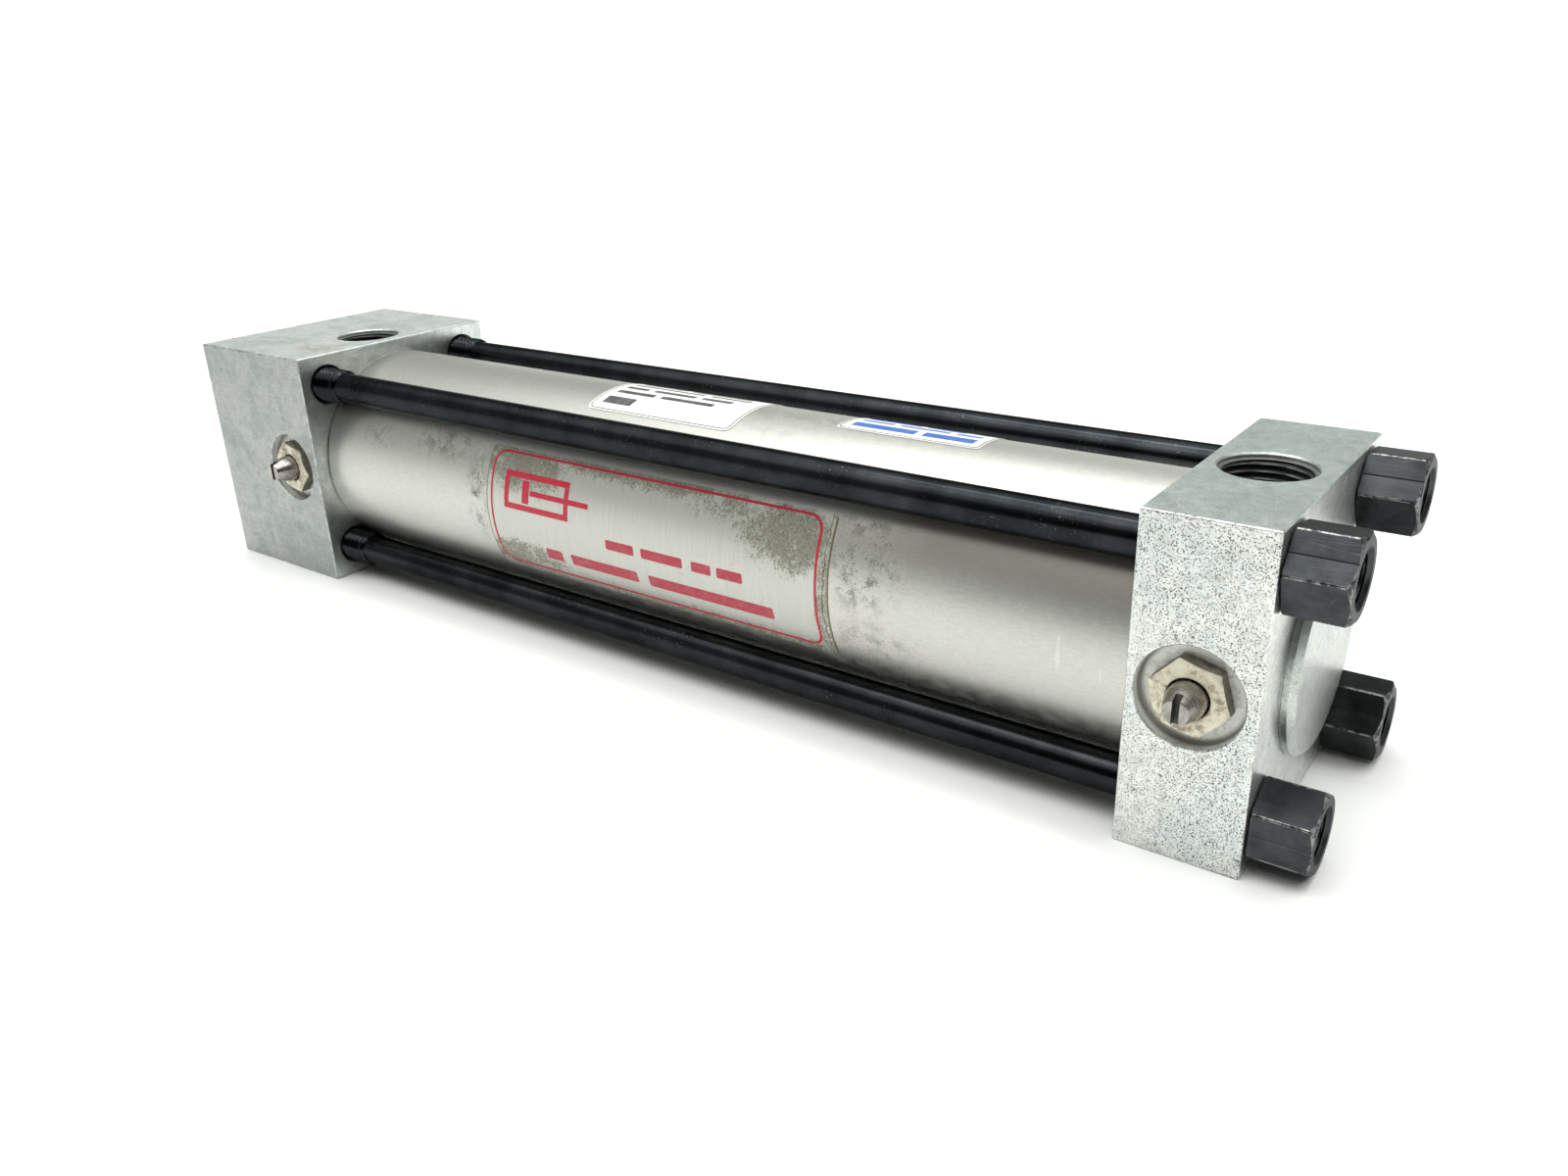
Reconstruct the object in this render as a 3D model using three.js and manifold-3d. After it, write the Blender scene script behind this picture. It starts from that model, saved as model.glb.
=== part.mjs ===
// Double-acting pneumatic cylinder of tie-rod build: two square zinc-plated heads clamp an
// aluminium tube between four tie rods. Both ends have an air port and a cushion needle.
//
// Frame, in millimetres: +X runs along the axis towards the cap head and its tie nuts, and the
// piston rod leaves through the other end. +Z is up, where both ports open, and the needles are
// on the -Y side. The origin is the middle of the cap head's bottom face.

import * as THREE from 'three';
import { mergeVertices } from 'three/addons/utils/BufferGeometryUtils.js';
import Module from 'manifold-3d';

const wasm = await Module();
wasm.setup();

// ---- driving dimensions -------------------------------------------------------------------

const HEAD_SIZE = 63.5;          // square side of both heads
const CAP_LENGTH = 22.7;
const ROD_HEAD_LENGTH = 46.7;
const BARREL_LENGTH = 233.6;     // between the heads' inner faces
const BORE_R = 25.4;
const TUBE_R = 27.95;
const ROD_R = 7.9375;
const GAP = 0.3;                 // clearance between neighbouring pieces

const SPIGOT_R = BORE_R - GAP;   // step of each head that centres the tube
const SPIGOT_LENGTH = 4.5;
const SPIGOT_GROOVE_R = 23.2;    // floor of the tube seal's groove in the spigot
const SPIGOT_GROOVE_START = 1;   // groove, from the head's inner face
const SPIGOT_GROOVE_END = 3.6;
const TUBE_SEAL_R = 24.35;       // to the middle of the seal's section
const TUBE_SEAL_SECTION_R = 0.75;
const PILOT_R = 20.3;            // round boss on the cap's outer face
const PILOT_HEIGHT = 2.5;
const PILOT_CHAMFER = 1.2;

const TIE_OFFSET = 23.4;         // tie rods stand at plus and minus this from the axis
const TIE_SHANK_R = 3.95;
const TIE_THREAD_R = 4.75;
const TIE_END_R = 4.35;          // threaded end inside the tie nut
const TIE_TAP_DEPTH = 15;        // blind tapped hole in the rod head
const TIE_THREAD_SHOWING = 7;    // thread left outside the rod head
const TIE_END_IN_NUT = 4.9;      // how far the end stands past the cap's outer face
const TIE_END_START = 5;         // cap's inner face to the start of the end thread
const TIE_TAPER = 0.8;           // from the thread down to the shank
const TIE_END_TAPER = 0.4;

const NUT_LENGTH = 10.6;         // from the cap's face to the nut's outer end
const NUT_FLATS = 14.3;
const NUT_BORE_R = 4.7;
const NUT_CHAMFER = 0.9;
const NUT_CHAMFER_INSET = 0.2;   // end chamfer's circle inside the flats
const NUT_MOUTH = 0.6;           // chamfer of the nut's bore
const CORNER_MARGIN = 0.1;       // keeps a hexagon's corners inside the cone that chamfers them
const HEX_ROUND = 24;            // sides of the cones and bores that shape a hexagon

const PORT_FROM_CAP_FACE = 11.7;       // port and needle, from the cap's outer face
const PORT_FROM_ROD_FACE = 12.1;       // port and needle, from the rod head's inner face
const PORT_MOUTH_R = 9.3;
const PORT_THREAD_R = 8.1;
const PORT_PASSAGE_R = 6.2;
const PORT_CHAMFER_DEPTH = 1.1;
const PORT_THREAD_DEPTH = 13;

const CAP_CHAMBER_R = 9.8;       // cushion chamber behind the cap's cushion seal
const CAP_CHAMBER_END = 7.6;     // metal left between the chamber and the cap's outer face
const ROD_CHAMBER_R = 11.6;
const ROD_CHAMBER_DEPTH = 20.6;  // from the rod head's inner face
const SEAL_RECESS_DEPTH = 3.6;
const CAP_RECESS_R = 12.6;       // recess of the cap's cushion seal
const ROD_RECESS_R = 14.6;

const NEEDLE_R = 3.5;
const NEEDLE_PROUD = 6;          // how far the needle stands out of the head's side
const NEEDLE_CHAMFER = 0.6;
const NEEDLE_GROOVE_R = 2.6;
const NEEDLE_GROOVE_START = 8;   // depths below the head's side, as the two that follow
const NEEDLE_GROOVE_END = 10.6;
const NEEDLE_CONE_START = 11.75;
const NEEDLE_CONE_END = 14.25;
const NEEDLE_PIN_R = 1.3;
const NEEDLE_PIN_END = 18.75;    // depth of the needle's tip below the head's side
const NEEDLE_SEAL_SECTION_R = 0.5;
const SLOT_WIDTH = 1.3;
const SLOT_DEPTH = 1.7;
const COUNTERBORE_R = 9.6;
const COUNTERBORE_DEPTH = 3;
const HEX_FLATS = 12.7;
const HEX_PROUD = 0.3;           // how far the hexagon stands out of the head's side
const HEX_CHAMFER = 0.8;
const HEX_CHAMFER_INSET = 0.3;
const HEX_ANGLE = 13;            // where a corner of the bushing's hexagon lies
const STEM_R = 6;                // bushing's stem below its hexagon
const STEM_DEPTH = 16;
const BUSHING_STEP = 5.2;        // where the bushing's bore widens round the needle's seal
const BUSHING_WIDE_R = 4.2;
const SEAT_PASSAGE_R = 1.7;

const ROD_PASSAGE_R = ROD_R + 1; // hole between the bushing and the cushion chamber
const GLAND_R = 14.4;            // rod bushing
const GLAND_NOSE_R = 12.5;
const GLAND_NOSE_PROUD = 5.3;
const GLAND_SEAT = 23.9;         // rod head's outer face to the shoulder the bushing rests on
const RING_SHOULDER = 3.75;      // rod head's outer face to the bushing's ring shoulder
const RING_THICKNESS = 1.4;
const RING_GROOVE_R = 15.9;

const ROD_PROUD = 32;            // rod's end past the rod head's outer face, retracted
const ROD_THREAD_LENGTH = 19;
const ROD_THREAD_R = 6.35;
const ROD_TIP_CHAMFER = 1;
const FLATS_LENGTH = 6;
const FLATS_ACROSS = 12.7;
const STUD_R = 5;                // rod's stepped end through the piston
const STUD_LENGTH = 11;          // of the stud past the piston, inside the spud nut
const SLEEVE_STEP_R = 6.5;
const SLEEVE_LENGTH = 18;
const SLEEVE_R = 11;
const CUSHION_SEAL_CLEARANCE = 0.4;
const CUSHION_LIP = 0.6;         // how far the cushion seal's mouth flares
const CUSHION_LEAD = 2;          // length of the taper that leads the sleeve and spud in
const SPUD_LENGTH = 14;
const SPUD_R = 9;
const PISTON_R = BORE_R - GAP;
const PISTON_END_GAP = 0.4;
const MAGNET_R = PISTON_R - 0.5;
const STROKE = 203.2;

const LABEL_THICKNESS = 0.2;
const LABEL_SEGMENTS = 12;
const LABELS = {                 // x from and to, then degrees round from -Y up towards +Z
  label_side: [-178.5, -75.6, -32, 35],
  label_top_wide: [-157, -112.8, 65, 111],
  label_top_narrow: [-89.4, -55.1, 82, 108],
};

// ---- places along the axis ------------------------------------------------------------------

const CENTRE_Z = HEAD_SIZE / 2;
const CAP_OUT = CAP_LENGTH / 2;
const CAP_IN = -CAP_LENGTH / 2;
const ROD_IN = CAP_IN - BARREL_LENGTH;
const ROD_OUT = ROD_IN - ROD_HEAD_LENGTH;
const CAP_PORT_X = CAP_OUT - PORT_FROM_CAP_FACE;
const ROD_PORT_X = ROD_IN - PORT_FROM_ROD_FACE;
const PISTON_RIGHT = CAP_IN - SPIGOT_LENGTH - PISTON_END_GAP;
const PISTON_LENGTH = BARREL_LENGTH - 2 * (SPIGOT_LENGTH + PISTON_END_GAP) - STROKE;
const PISTON_LEFT = PISTON_RIGHT - PISTON_LENGTH;
const ROD_END = ROD_OUT - ROD_PROUD;

// ---- materials --------------------------------------------------------------------------------

const finish = (color, roughness, metalness) => () => new THREE.MeshStandardMaterial({
  color, roughness, metalness, flatShading: true,
});

const zincPlate = finish(0xc6cdca, 0.5, 0.7);
const satinAluminium = finish(0xb9b8b1, 0.35, 0.9);
const blackOxide = finish(0x25282b, 0.3, 0.6);
const stainless = finish(0xa9a6a4, 0.2, 1);
const yellowPlate = finish(0xc9c0a0, 0.5, 0.5);
const bronze = finish(0xa8824a, 0.4, 0.9);
const chromePlate = finish(0xd4d7da, 0.1, 1);
const pistonAluminium = finish(0xaeb2b4, 0.4, 0.9);
const sealRubber = finish(0x1c1c1c, 0.8, 0);
const wearPlastic = finish(0x7b4a2c, 0.6, 0);
const ferrite = finish(0x3a3a3c, 0.6, 0.2);
const labelFilm = finish(0xd2d0c4, 0.4, 0);

// ---- solids -----------------------------------------------------------------------------------

function signedVolume(position, index) {
  const [a, b, c] = [new THREE.Vector3(), new THREE.Vector3(), new THREE.Vector3()];
  let sum = 0;
  for (let i = 0; i < index.length; i += 3) {
    a.fromBufferAttribute(position, index[i]);
    b.fromBufferAttribute(position, index[i + 1]);
    c.fromBufferAttribute(position, index[i + 2]);
    sum += a.dot(b.cross(c)) / 6;
  }
  return sum;
}

// Closed mesh to solid: shared vertices merged, empty triangles dropped, faces pointing out.
function solid(geometry) {
  geometry.deleteAttribute('normal');
  geometry.deleteAttribute('uv');
  const welded = mergeVertices(geometry, 1e-4);
  const triangles = [];
  const all = welded.index.array;
  for (let i = 0; i < all.length; i += 3) {
    const [a, b, c] = [all[i], all[i + 1], all[i + 2]];
    if (a !== b && b !== c && c !== a) triangles.push([a, b, c]);
  }
  const position = welded.getAttribute('position');
  const inward = signedVolume(position, triangles.flat()) < 0;
  const order = inward ? ([a, b, c]) => [a, c, b] : (triangle) => triangle;
  return new wasm.Manifold(new wasm.Mesh({
    numProp: 3,
    vertProperties: Float32Array.from(position.array),
    triVerts: Uint32Array.from(triangles.flatMap(order)),
  }));
}

function geometryOf(body) {
  const mesh = body.getMesh();
  const geometry = new THREE.BufferGeometry();
  geometry.setAttribute('position', new THREE.BufferAttribute(mesh.vertProperties, 3));
  geometry.setIndex(new THREE.BufferAttribute(mesh.triVerts, 1));
  return geometry;
}

const roundness = (r) => (r > 20 ? 36 : r > 8 ? 24 : r > 3 ? 16 : 10);

// Solid of revolution about the X axis; profile is [x, radius] pairs going round the section.
function turned(profile, segments = roundness(Math.max(...profile.map(([, r]) => r)))) {
  const section = [...profile, profile[0]].map(([x, r]) => new THREE.Vector2(r, x));
  return solid(new THREE.LatheGeometry(section, segments).rotateZ(-Math.PI / 2));
}

// Plain or stepped bar on the X axis, from [x, radius] pairs along its side.
const bar = (steps, segments) => turned(
  [[steps[0][0], 0], ...steps, [steps.at(-1)[0], 0]],
  segments,
);

const rod = (x0, x1, r, segments) => bar([[x0, r], [x1, r]], segments);

// Ring of round section, centred on x.
function roundRing(x, r, sectionR, around = 6) {
  const profile = Array.from({ length: around }, (_, i) => {
    const angle = (2 * Math.PI * i) / around;
    return [x + sectionR * Math.cos(angle), r + sectionR * Math.sin(angle)];
  });
  return turned(profile);
}

const flatRing = (x0, x1, rIn, rOut, segments) => turned(
  [[x0, rIn], [x1, rIn], [x1, rOut], [x0, rOut]],
  segments,
);

function block([x0, x1], [y0, y1], [z0, z1]) {
  const geometry = new THREE.BoxGeometry(x1 - x0, y1 - y0, z1 - z0);
  return solid(geometry.translate((x0 + x1) / 2, (y0 + y1) / 2, (z0 + z1) / 2));
}

// Hexagonal bar on the X axis; one corner lies `angle` degrees round from +Y towards +Z.
function hexBar(x0, x1, acrossFlats, angle) {
  const r = acrossFlats / Math.sqrt(3);
  const shape = new THREE.Shape(Array.from({ length: 6 }, (_, i) => {
    const turn = THREE.MathUtils.degToRad(angle + 60 * i);
    return new THREE.Vector2(r * Math.cos(turn), r * Math.sin(turn));
  }));
  const geometry = new THREE.ExtrudeGeometry(shape, { depth: x1 - x0, bevelEnabled: false });
  return solid(geometry.applyMatrix4(ALONG_X).translate(x0, 0, 0));
}

// Takes a shape drawn in XY and pushed along Z into YZ, pushed along X.
const ALONG_X = new THREE.Matrix4().makeBasis(
  new THREE.Vector3(0, 1, 0),
  new THREE.Vector3(0, 0, 1),
  new THREE.Vector3(1, 0, 0),
);

const moved = (body, x, y, z) => body.translate([x, y, z]);
const sidewaysAt = (body, x) => body.rotate([0, 0, 90]).translate([x, 0, 0]);

// ---- assembly ---------------------------------------------------------------------------------

const cylinder = new THREE.Group();
cylinder.position.z = CENTRE_Z;

function add(name, body, material) {
  const mesh = new THREE.Mesh(geometryOf(body), material());
  mesh.name = name;
  cylinder.add(mesh);
}

// ---- heads ------------------------------------------------------------------------------------

// Everything below is built about the cylinder's axis, so a head reaches from -HALF to HALF.
const HALF = HEAD_SIZE / 2;

const tieCorners = [
  { name: 'far_upper', y: 1, z: 1, nutAngle: 54 },
  { name: 'near_upper', y: -1, z: 1, nutAngle: 52 },
  { name: 'far_lower', y: 1, z: -1, nutAngle: 58 },
  { name: 'near_lower', y: -1, z: -1, nutAngle: 28 },
].map((corner) => ({ ...corner, y: corner.y * TIE_OFFSET, z: corner.z * TIE_OFFSET }));

// Air port from the top face down to the cushion chamber. Along its own axis x is the depth
// above the cylinder's axis, so turning X to point up puts the mouth in the top face.
function portHole(x, passageEnd) {
  const threadEnd = HALF - PORT_THREAD_DEPTH;
  const hole = bar([
    [passageEnd, PORT_PASSAGE_R],
    [threadEnd, PORT_PASSAGE_R],
    [threadEnd, PORT_THREAD_R],
    [HALF - PORT_CHAMFER_DEPTH, PORT_THREAD_R],
    [HALF, PORT_MOUTH_R],
    [HALF + 1, PORT_MOUTH_R],
  ]);
  return hole.rotate([0, -90, 0]).translate([x, 0, 0]);
}

// Counterbore, stem hole and fine passage of a cushion needle, from the -Y face inwards.
function needleHole(x) {
  const floor = -HALF + COUNTERBORE_DEPTH;
  const stemFloor = -HALF + STEM_DEPTH + GAP;
  const hole = bar([
    [-HALF - 1, COUNTERBORE_R],
    [floor, COUNTERBORE_R],
    [floor, STEM_R + GAP],
    [stemFloor, STEM_R + GAP],
    [stemFloor, SEAT_PASSAGE_R],
    [-CAP_CHAMBER_R + 1, SEAT_PASSAGE_R],
  ]);
  return sidewaysAt(hole, x);
}

// Step on a head's inner face that centres the tube, with its seal groove and the recess for
// the cushion seal. `side` is the way it points: -1 towards the rod end, +1 towards the cap.
function spigot(face, side, recessR) {
  const at = (depth) => face + side * depth;
  return turned([
    [at(-1), recessR],
    [at(SPIGOT_LENGTH), recessR],
    [at(SPIGOT_LENGTH), SPIGOT_R],
    [at(SPIGOT_GROOVE_END), SPIGOT_R],
    [at(SPIGOT_GROOVE_END), SPIGOT_GROOVE_R],
    [at(SPIGOT_GROOVE_START), SPIGOT_GROOVE_R],
    [at(SPIGOT_GROOVE_START), SPIGOT_R],
    [at(-1), SPIGOT_R],
  ]);
}

function capHead() {
  const chamberEnd = CAP_OUT - CAP_CHAMBER_END;
  const recessFloor = CAP_IN - SPIGOT_LENGTH + SEAL_RECESS_DEPTH;
  const pilot = bar([
    [CAP_OUT - 1, PILOT_R],
    [CAP_OUT + PILOT_HEIGHT - PILOT_CHAMFER, PILOT_R],
    [CAP_OUT + PILOT_HEIGHT, PILOT_R - PILOT_CHAMFER],
  ]);
  let head = block([CAP_IN, CAP_OUT], [-HALF, HALF], [-HALF, HALF])
    .add(pilot)
    .add(spigot(CAP_IN, -1, CAP_CHAMBER_R))
    .subtract(rod(CAP_IN - SPIGOT_LENGTH - 1, recessFloor, CAP_RECESS_R))
    .subtract(rod(CAP_IN - SPIGOT_LENGTH, chamberEnd, CAP_CHAMBER_R))
    .subtract(portHole(CAP_PORT_X, CAP_CHAMBER_R - 2))
    .subtract(needleHole(CAP_PORT_X));
  for (const { y, z } of tieCorners) {
    head = head.subtract(moved(rod(CAP_IN - 1, CAP_OUT + 1, TIE_THREAD_R + GAP), 0, y, z));
  }
  return head;
}

function rodHead() {
  const chamberEnd = ROD_IN - ROD_CHAMBER_DEPTH;
  const recessFloor = ROD_IN + SPIGOT_LENGTH - SEAL_RECESS_DEPTH;
  const shoulder = ROD_OUT + GLAND_SEAT;
  const ringLeft = ROD_OUT + RING_SHOULDER - RING_THICKNESS - 2 * GAP;
  let head = block([ROD_OUT, ROD_IN], [-HALF, HALF], [-HALF, HALF])
    .add(spigot(ROD_IN, 1, ROD_CHAMBER_R))
    .subtract(rod(recessFloor, ROD_IN + SPIGOT_LENGTH + 1, ROD_RECESS_R))
    .subtract(rod(chamberEnd, ROD_IN + SPIGOT_LENGTH, ROD_CHAMBER_R))
    .subtract(rod(shoulder - 1, chamberEnd + 1, ROD_PASSAGE_R))
    .subtract(rod(ROD_OUT - 1, shoulder, GLAND_R + GAP))
    .subtract(rod(ringLeft, ROD_OUT + RING_SHOULDER, RING_GROOVE_R))
    .subtract(portHole(ROD_PORT_X, ROD_CHAMBER_R - 2))
    .subtract(needleHole(ROD_PORT_X));
  for (const { y, z } of tieCorners) {
    head = head.subtract(moved(rod(ROD_IN - TIE_TAP_DEPTH, ROD_IN + 1, TIE_THREAD_R + GAP), 0, y, z));
  }
  return head;
}

add('rod_head', rodHead(), zincPlate);
add('cap_head', capHead(), zincPlate);

// ---- tube and its seals -------------------------------------------------------------------------

add('cylinder_tube', flatRing(ROD_IN + GAP, CAP_IN - GAP, BORE_R, TUBE_R), satinAluminium);
const TUBE_SEAL_DEPTH = (SPIGOT_GROOVE_START + SPIGOT_GROOVE_END) / 2;
const tubeSeal = (x) => roundRing(x, TUBE_SEAL_R, TUBE_SEAL_SECTION_R);
add('tube_seal_rod_end', tubeSeal(ROD_IN + TUBE_SEAL_DEPTH), sealRubber);
add('tube_seal_cap_end', tubeSeal(CAP_IN - TUBE_SEAL_DEPTH), sealRubber);

// ---- tie rods and nuts ----------------------------------------------------------------------------

const tieRod = () => bar([
  [ROD_IN - TIE_TAP_DEPTH + 1, TIE_THREAD_R],
  [ROD_IN + TIE_THREAD_SHOWING, TIE_THREAD_R],
  [ROD_IN + TIE_THREAD_SHOWING + TIE_TAPER, TIE_SHANK_R],
  [CAP_IN + TIE_END_START, TIE_SHANK_R],
  [CAP_IN + TIE_END_START + TIE_END_TAPER, TIE_END_R],
  [CAP_OUT + TIE_END_IN_NUT, TIE_END_R],
]);

function tieNut(angle) {
  const [inner, outer] = [CAP_OUT + GAP, CAP_OUT + NUT_LENGTH];
  const cornerR = NUT_FLATS / Math.sqrt(3);
  const envelope = bar([
    [inner, cornerR + CORNER_MARGIN],
    [outer - NUT_CHAMFER, cornerR + CORNER_MARGIN],
    [outer, NUT_FLATS / 2 - NUT_CHAMFER_INSET],
  ], HEX_ROUND);
  const bore = bar([
    [inner - 1, NUT_BORE_R],
    [outer - NUT_MOUTH, NUT_BORE_R],
    [outer, NUT_BORE_R + NUT_MOUTH],
    [outer + 1, NUT_BORE_R + NUT_MOUTH],
  ], HEX_ROUND);
  return hexBar(inner, outer, NUT_FLATS, angle).intersect(envelope).subtract(bore);
}

for (const { name, y, z, nutAngle } of tieCorners) {
  add(`tie_rod_${name}`, moved(tieRod(), 0, y, z), blackOxide);
  add(`tie_nut_${name}`, moved(tieNut(nutAngle), 0, y, z), blackOxide);
}

// ---- cushion needles ------------------------------------------------------------------------------

// Built along X with the head's side face at x = 0 and the inside at +x, then turned to face -Y.
function cushionNeedle() {
  const body = bar([
    [-NEEDLE_PROUD, NEEDLE_R - NEEDLE_CHAMFER],
    [-NEEDLE_PROUD + NEEDLE_CHAMFER, NEEDLE_R],
    [NEEDLE_GROOVE_START, NEEDLE_R],
    [NEEDLE_GROOVE_START, NEEDLE_GROOVE_R],
    [NEEDLE_GROOVE_END, NEEDLE_GROOVE_R],
    [NEEDLE_GROOVE_END, NEEDLE_R],
    [NEEDLE_CONE_START, NEEDLE_R],
    [NEEDLE_CONE_END, NEEDLE_PIN_R],
    [NEEDLE_PIN_END, NEEDLE_PIN_R],
  ]);
  const slot = block(
    [-NEEDLE_PROUD - 1, -NEEDLE_PROUD + SLOT_DEPTH],
    [-SLOT_WIDTH / 2, SLOT_WIDTH / 2],
    [-NEEDLE_R - 1, NEEDLE_R + 1],
  );
  return body.subtract(slot);
}

function needleBushing() {
  const hexBack = COUNTERBORE_DEPTH - GAP;
  const cornerR = HEX_FLATS / Math.sqrt(3);
  const envelope = bar([
    [-HEX_PROUD, HEX_FLATS / 2 - HEX_CHAMFER_INSET],
    [-HEX_PROUD + HEX_CHAMFER, cornerR + CORNER_MARGIN],
    [hexBack, cornerR + CORNER_MARGIN],
  ], HEX_ROUND);
  const bore = bar([
    [-HEX_PROUD - 1, NEEDLE_R + GAP],
    [BUSHING_STEP, NEEDLE_R + GAP],
    [BUSHING_STEP, BUSHING_WIDE_R],
    [STEM_DEPTH + 1, BUSHING_WIDE_R],
  ]);
  return hexBar(-HEX_PROUD, hexBack, HEX_FLATS, HEX_ANGLE)
    .intersect(envelope)
    .add(rod(hexBack - 1, STEM_DEPTH, STEM_R))
    .subtract(bore);
}

const needleSeal = () => roundRing(
  (NEEDLE_GROOVE_START + NEEDLE_GROOVE_END) / 2,
  NEEDLE_GROOVE_R + GAP + NEEDLE_SEAL_SECTION_R,
  NEEDLE_SEAL_SECTION_R,
);

for (const [end, x] of [['rod_end', ROD_PORT_X], ['cap_end', CAP_PORT_X]]) {
  const place = (body) => moved(sidewaysAt(body, x), 0, -HALF, 0);
  add(`cushion_needle_${end}`, place(cushionNeedle()), stainless);
  add(`needle_bushing_${end}`, place(needleBushing()), yellowPlate);
  add(`needle_seal_${end}`, place(needleSeal()), sealRubber);
}

// ---- rod gland --------------------------------------------------------------------------------------

const BUSHING_IN = ROD_OUT + GLAND_SEAT - GAP;
const BUSHING_OUT = ROD_OUT - GLAND_NOSE_PROUD;
const SEAL_GROOVE_X = ROD_OUT + 8;
const SEAL_GROOVE_END = SEAL_GROOVE_X + 4.5;
const SEAL_GROOVE_R = 11.3;
const ROD_SEAL_NOTCH_R = 9.6;    // bottom of the notch between the seal's two lips
const ROD_SEAL_NOTCH_DEPTH = 1.6;
const ROD_SEAL_LIP_LENGTH = 1.2;
const ROD_SEAL_LIP_FLARE = 0.6;
const WIPER_DEPTH = 4;
const WIPER_LIP = 0.8;           // how far the lip stands out of the bushing
const WIPER_SEAT_R = 11;
const WIPER_EDGE = 0.6;          // thickness of the lip's outer edge
const WIPER_RELIEF = 0.7;        // how far its back end stands off the rod
const WIPER_RELIEF_START = 1;
const BUSHING_SEAL_R = 13.65;    // to the middle of the seal's section
const BUSHING_SEAL_SECTION_R = 0.72;
const BUSHING_GROOVE_R = 12.6;
const BUSHING_GROOVE = [BUSHING_IN - 6, BUSHING_IN - 3];
const RUNNING_R = ROD_R + GAP;

const rodBushing = () => turned([
  [BUSHING_IN, RUNNING_R],
  [SEAL_GROOVE_END, RUNNING_R],
  [SEAL_GROOVE_END, SEAL_GROOVE_R],
  [SEAL_GROOVE_X, SEAL_GROOVE_R],
  [SEAL_GROOVE_X, RUNNING_R],
  [BUSHING_OUT + WIPER_DEPTH, RUNNING_R],
  [BUSHING_OUT + WIPER_DEPTH, WIPER_SEAT_R],
  [BUSHING_OUT, WIPER_SEAT_R],
  [BUSHING_OUT, GLAND_NOSE_R],
  [ROD_OUT + RING_SHOULDER, GLAND_NOSE_R],
  [ROD_OUT + RING_SHOULDER, GLAND_R],
  [BUSHING_GROOVE[0], GLAND_R],
  [BUSHING_GROOVE[0], BUSHING_GROOVE_R],
  [BUSHING_GROOVE[1], BUSHING_GROOVE_R],
  [BUSHING_GROOVE[1], GLAND_R],
  [BUSHING_IN, GLAND_R],
]);

const rodSeal = () => turned([
  [SEAL_GROOVE_X + GAP, RUNNING_R],
  [SEAL_GROOVE_END - ROD_SEAL_LIP_LENGTH, RUNNING_R],
  [SEAL_GROOVE_END - GAP, RUNNING_R + ROD_SEAL_LIP_FLARE],
  [SEAL_GROOVE_END - ROD_SEAL_NOTCH_DEPTH, ROD_SEAL_NOTCH_R],
  [SEAL_GROOVE_END - GAP, SEAL_GROOVE_R - GAP],
  [SEAL_GROOVE_X + GAP, SEAL_GROOVE_R - GAP],
]);

const rodWiper = () => turned([
  [BUSHING_OUT + WIPER_DEPTH - GAP, RUNNING_R + WIPER_RELIEF],
  [BUSHING_OUT + WIPER_RELIEF_START, RUNNING_R],
  [BUSHING_OUT - WIPER_LIP, RUNNING_R],
  [BUSHING_OUT - WIPER_LIP, RUNNING_R + WIPER_EDGE],
  [BUSHING_OUT + GAP, WIPER_SEAT_R - GAP],
  [BUSHING_OUT + WIPER_DEPTH - GAP, WIPER_SEAT_R - GAP],
]);

add('rod_bushing', rodBushing(), bronze);
add('rod_seal', rodSeal(), sealRubber);
add('rod_wiper', rodWiper(), sealRubber);
add('bushing_seal', roundRing(
  (BUSHING_GROOVE[0] + BUSHING_GROOVE[1]) / 2,
  BUSHING_SEAL_R,
  BUSHING_SEAL_SECTION_R,
), sealRubber);
add('gland_retaining_ring', flatRing(
  ROD_OUT + RING_SHOULDER - GAP - RING_THICKNESS,
  ROD_OUT + RING_SHOULDER - GAP,
  GLAND_NOSE_R + GAP,
  RING_GROOVE_R - GAP,
), blackOxide);

// ---- cushion seals ----------------------------------------------------------------------------------

// Seal in its recess round a cushion sleeve or spud; its lip opens towards the tube.
function cushionSeal(face, side, cushionR, recessR) {
  const outer = face + side * (SPIGOT_LENGTH - GAP);
  const inner = face + side * (SPIGOT_LENGTH - SEAL_RECESS_DEPTH + GAP);
  const [rIn, rOut] = [cushionR + CUSHION_SEAL_CLEARANCE, recessR - GAP];
  return turned([[outer, rIn + CUSHION_LIP], [inner, rIn], [inner, rOut], [outer, rOut]]);
}

add('cushion_seal_rod_end', cushionSeal(ROD_IN, 1, SLEEVE_R, ROD_RECESS_R), sealRubber);
add('cushion_seal_cap_end', cushionSeal(CAP_IN, -1, SPUD_R, CAP_RECESS_R), sealRubber);

// ---- piston and rod -----------------------------------------------------------------------------------

const SHAFT_END = PISTON_LEFT - GAP - SLEEVE_LENGTH - GAP;
const SPUD_START = PISTON_RIGHT + GAP;

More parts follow.
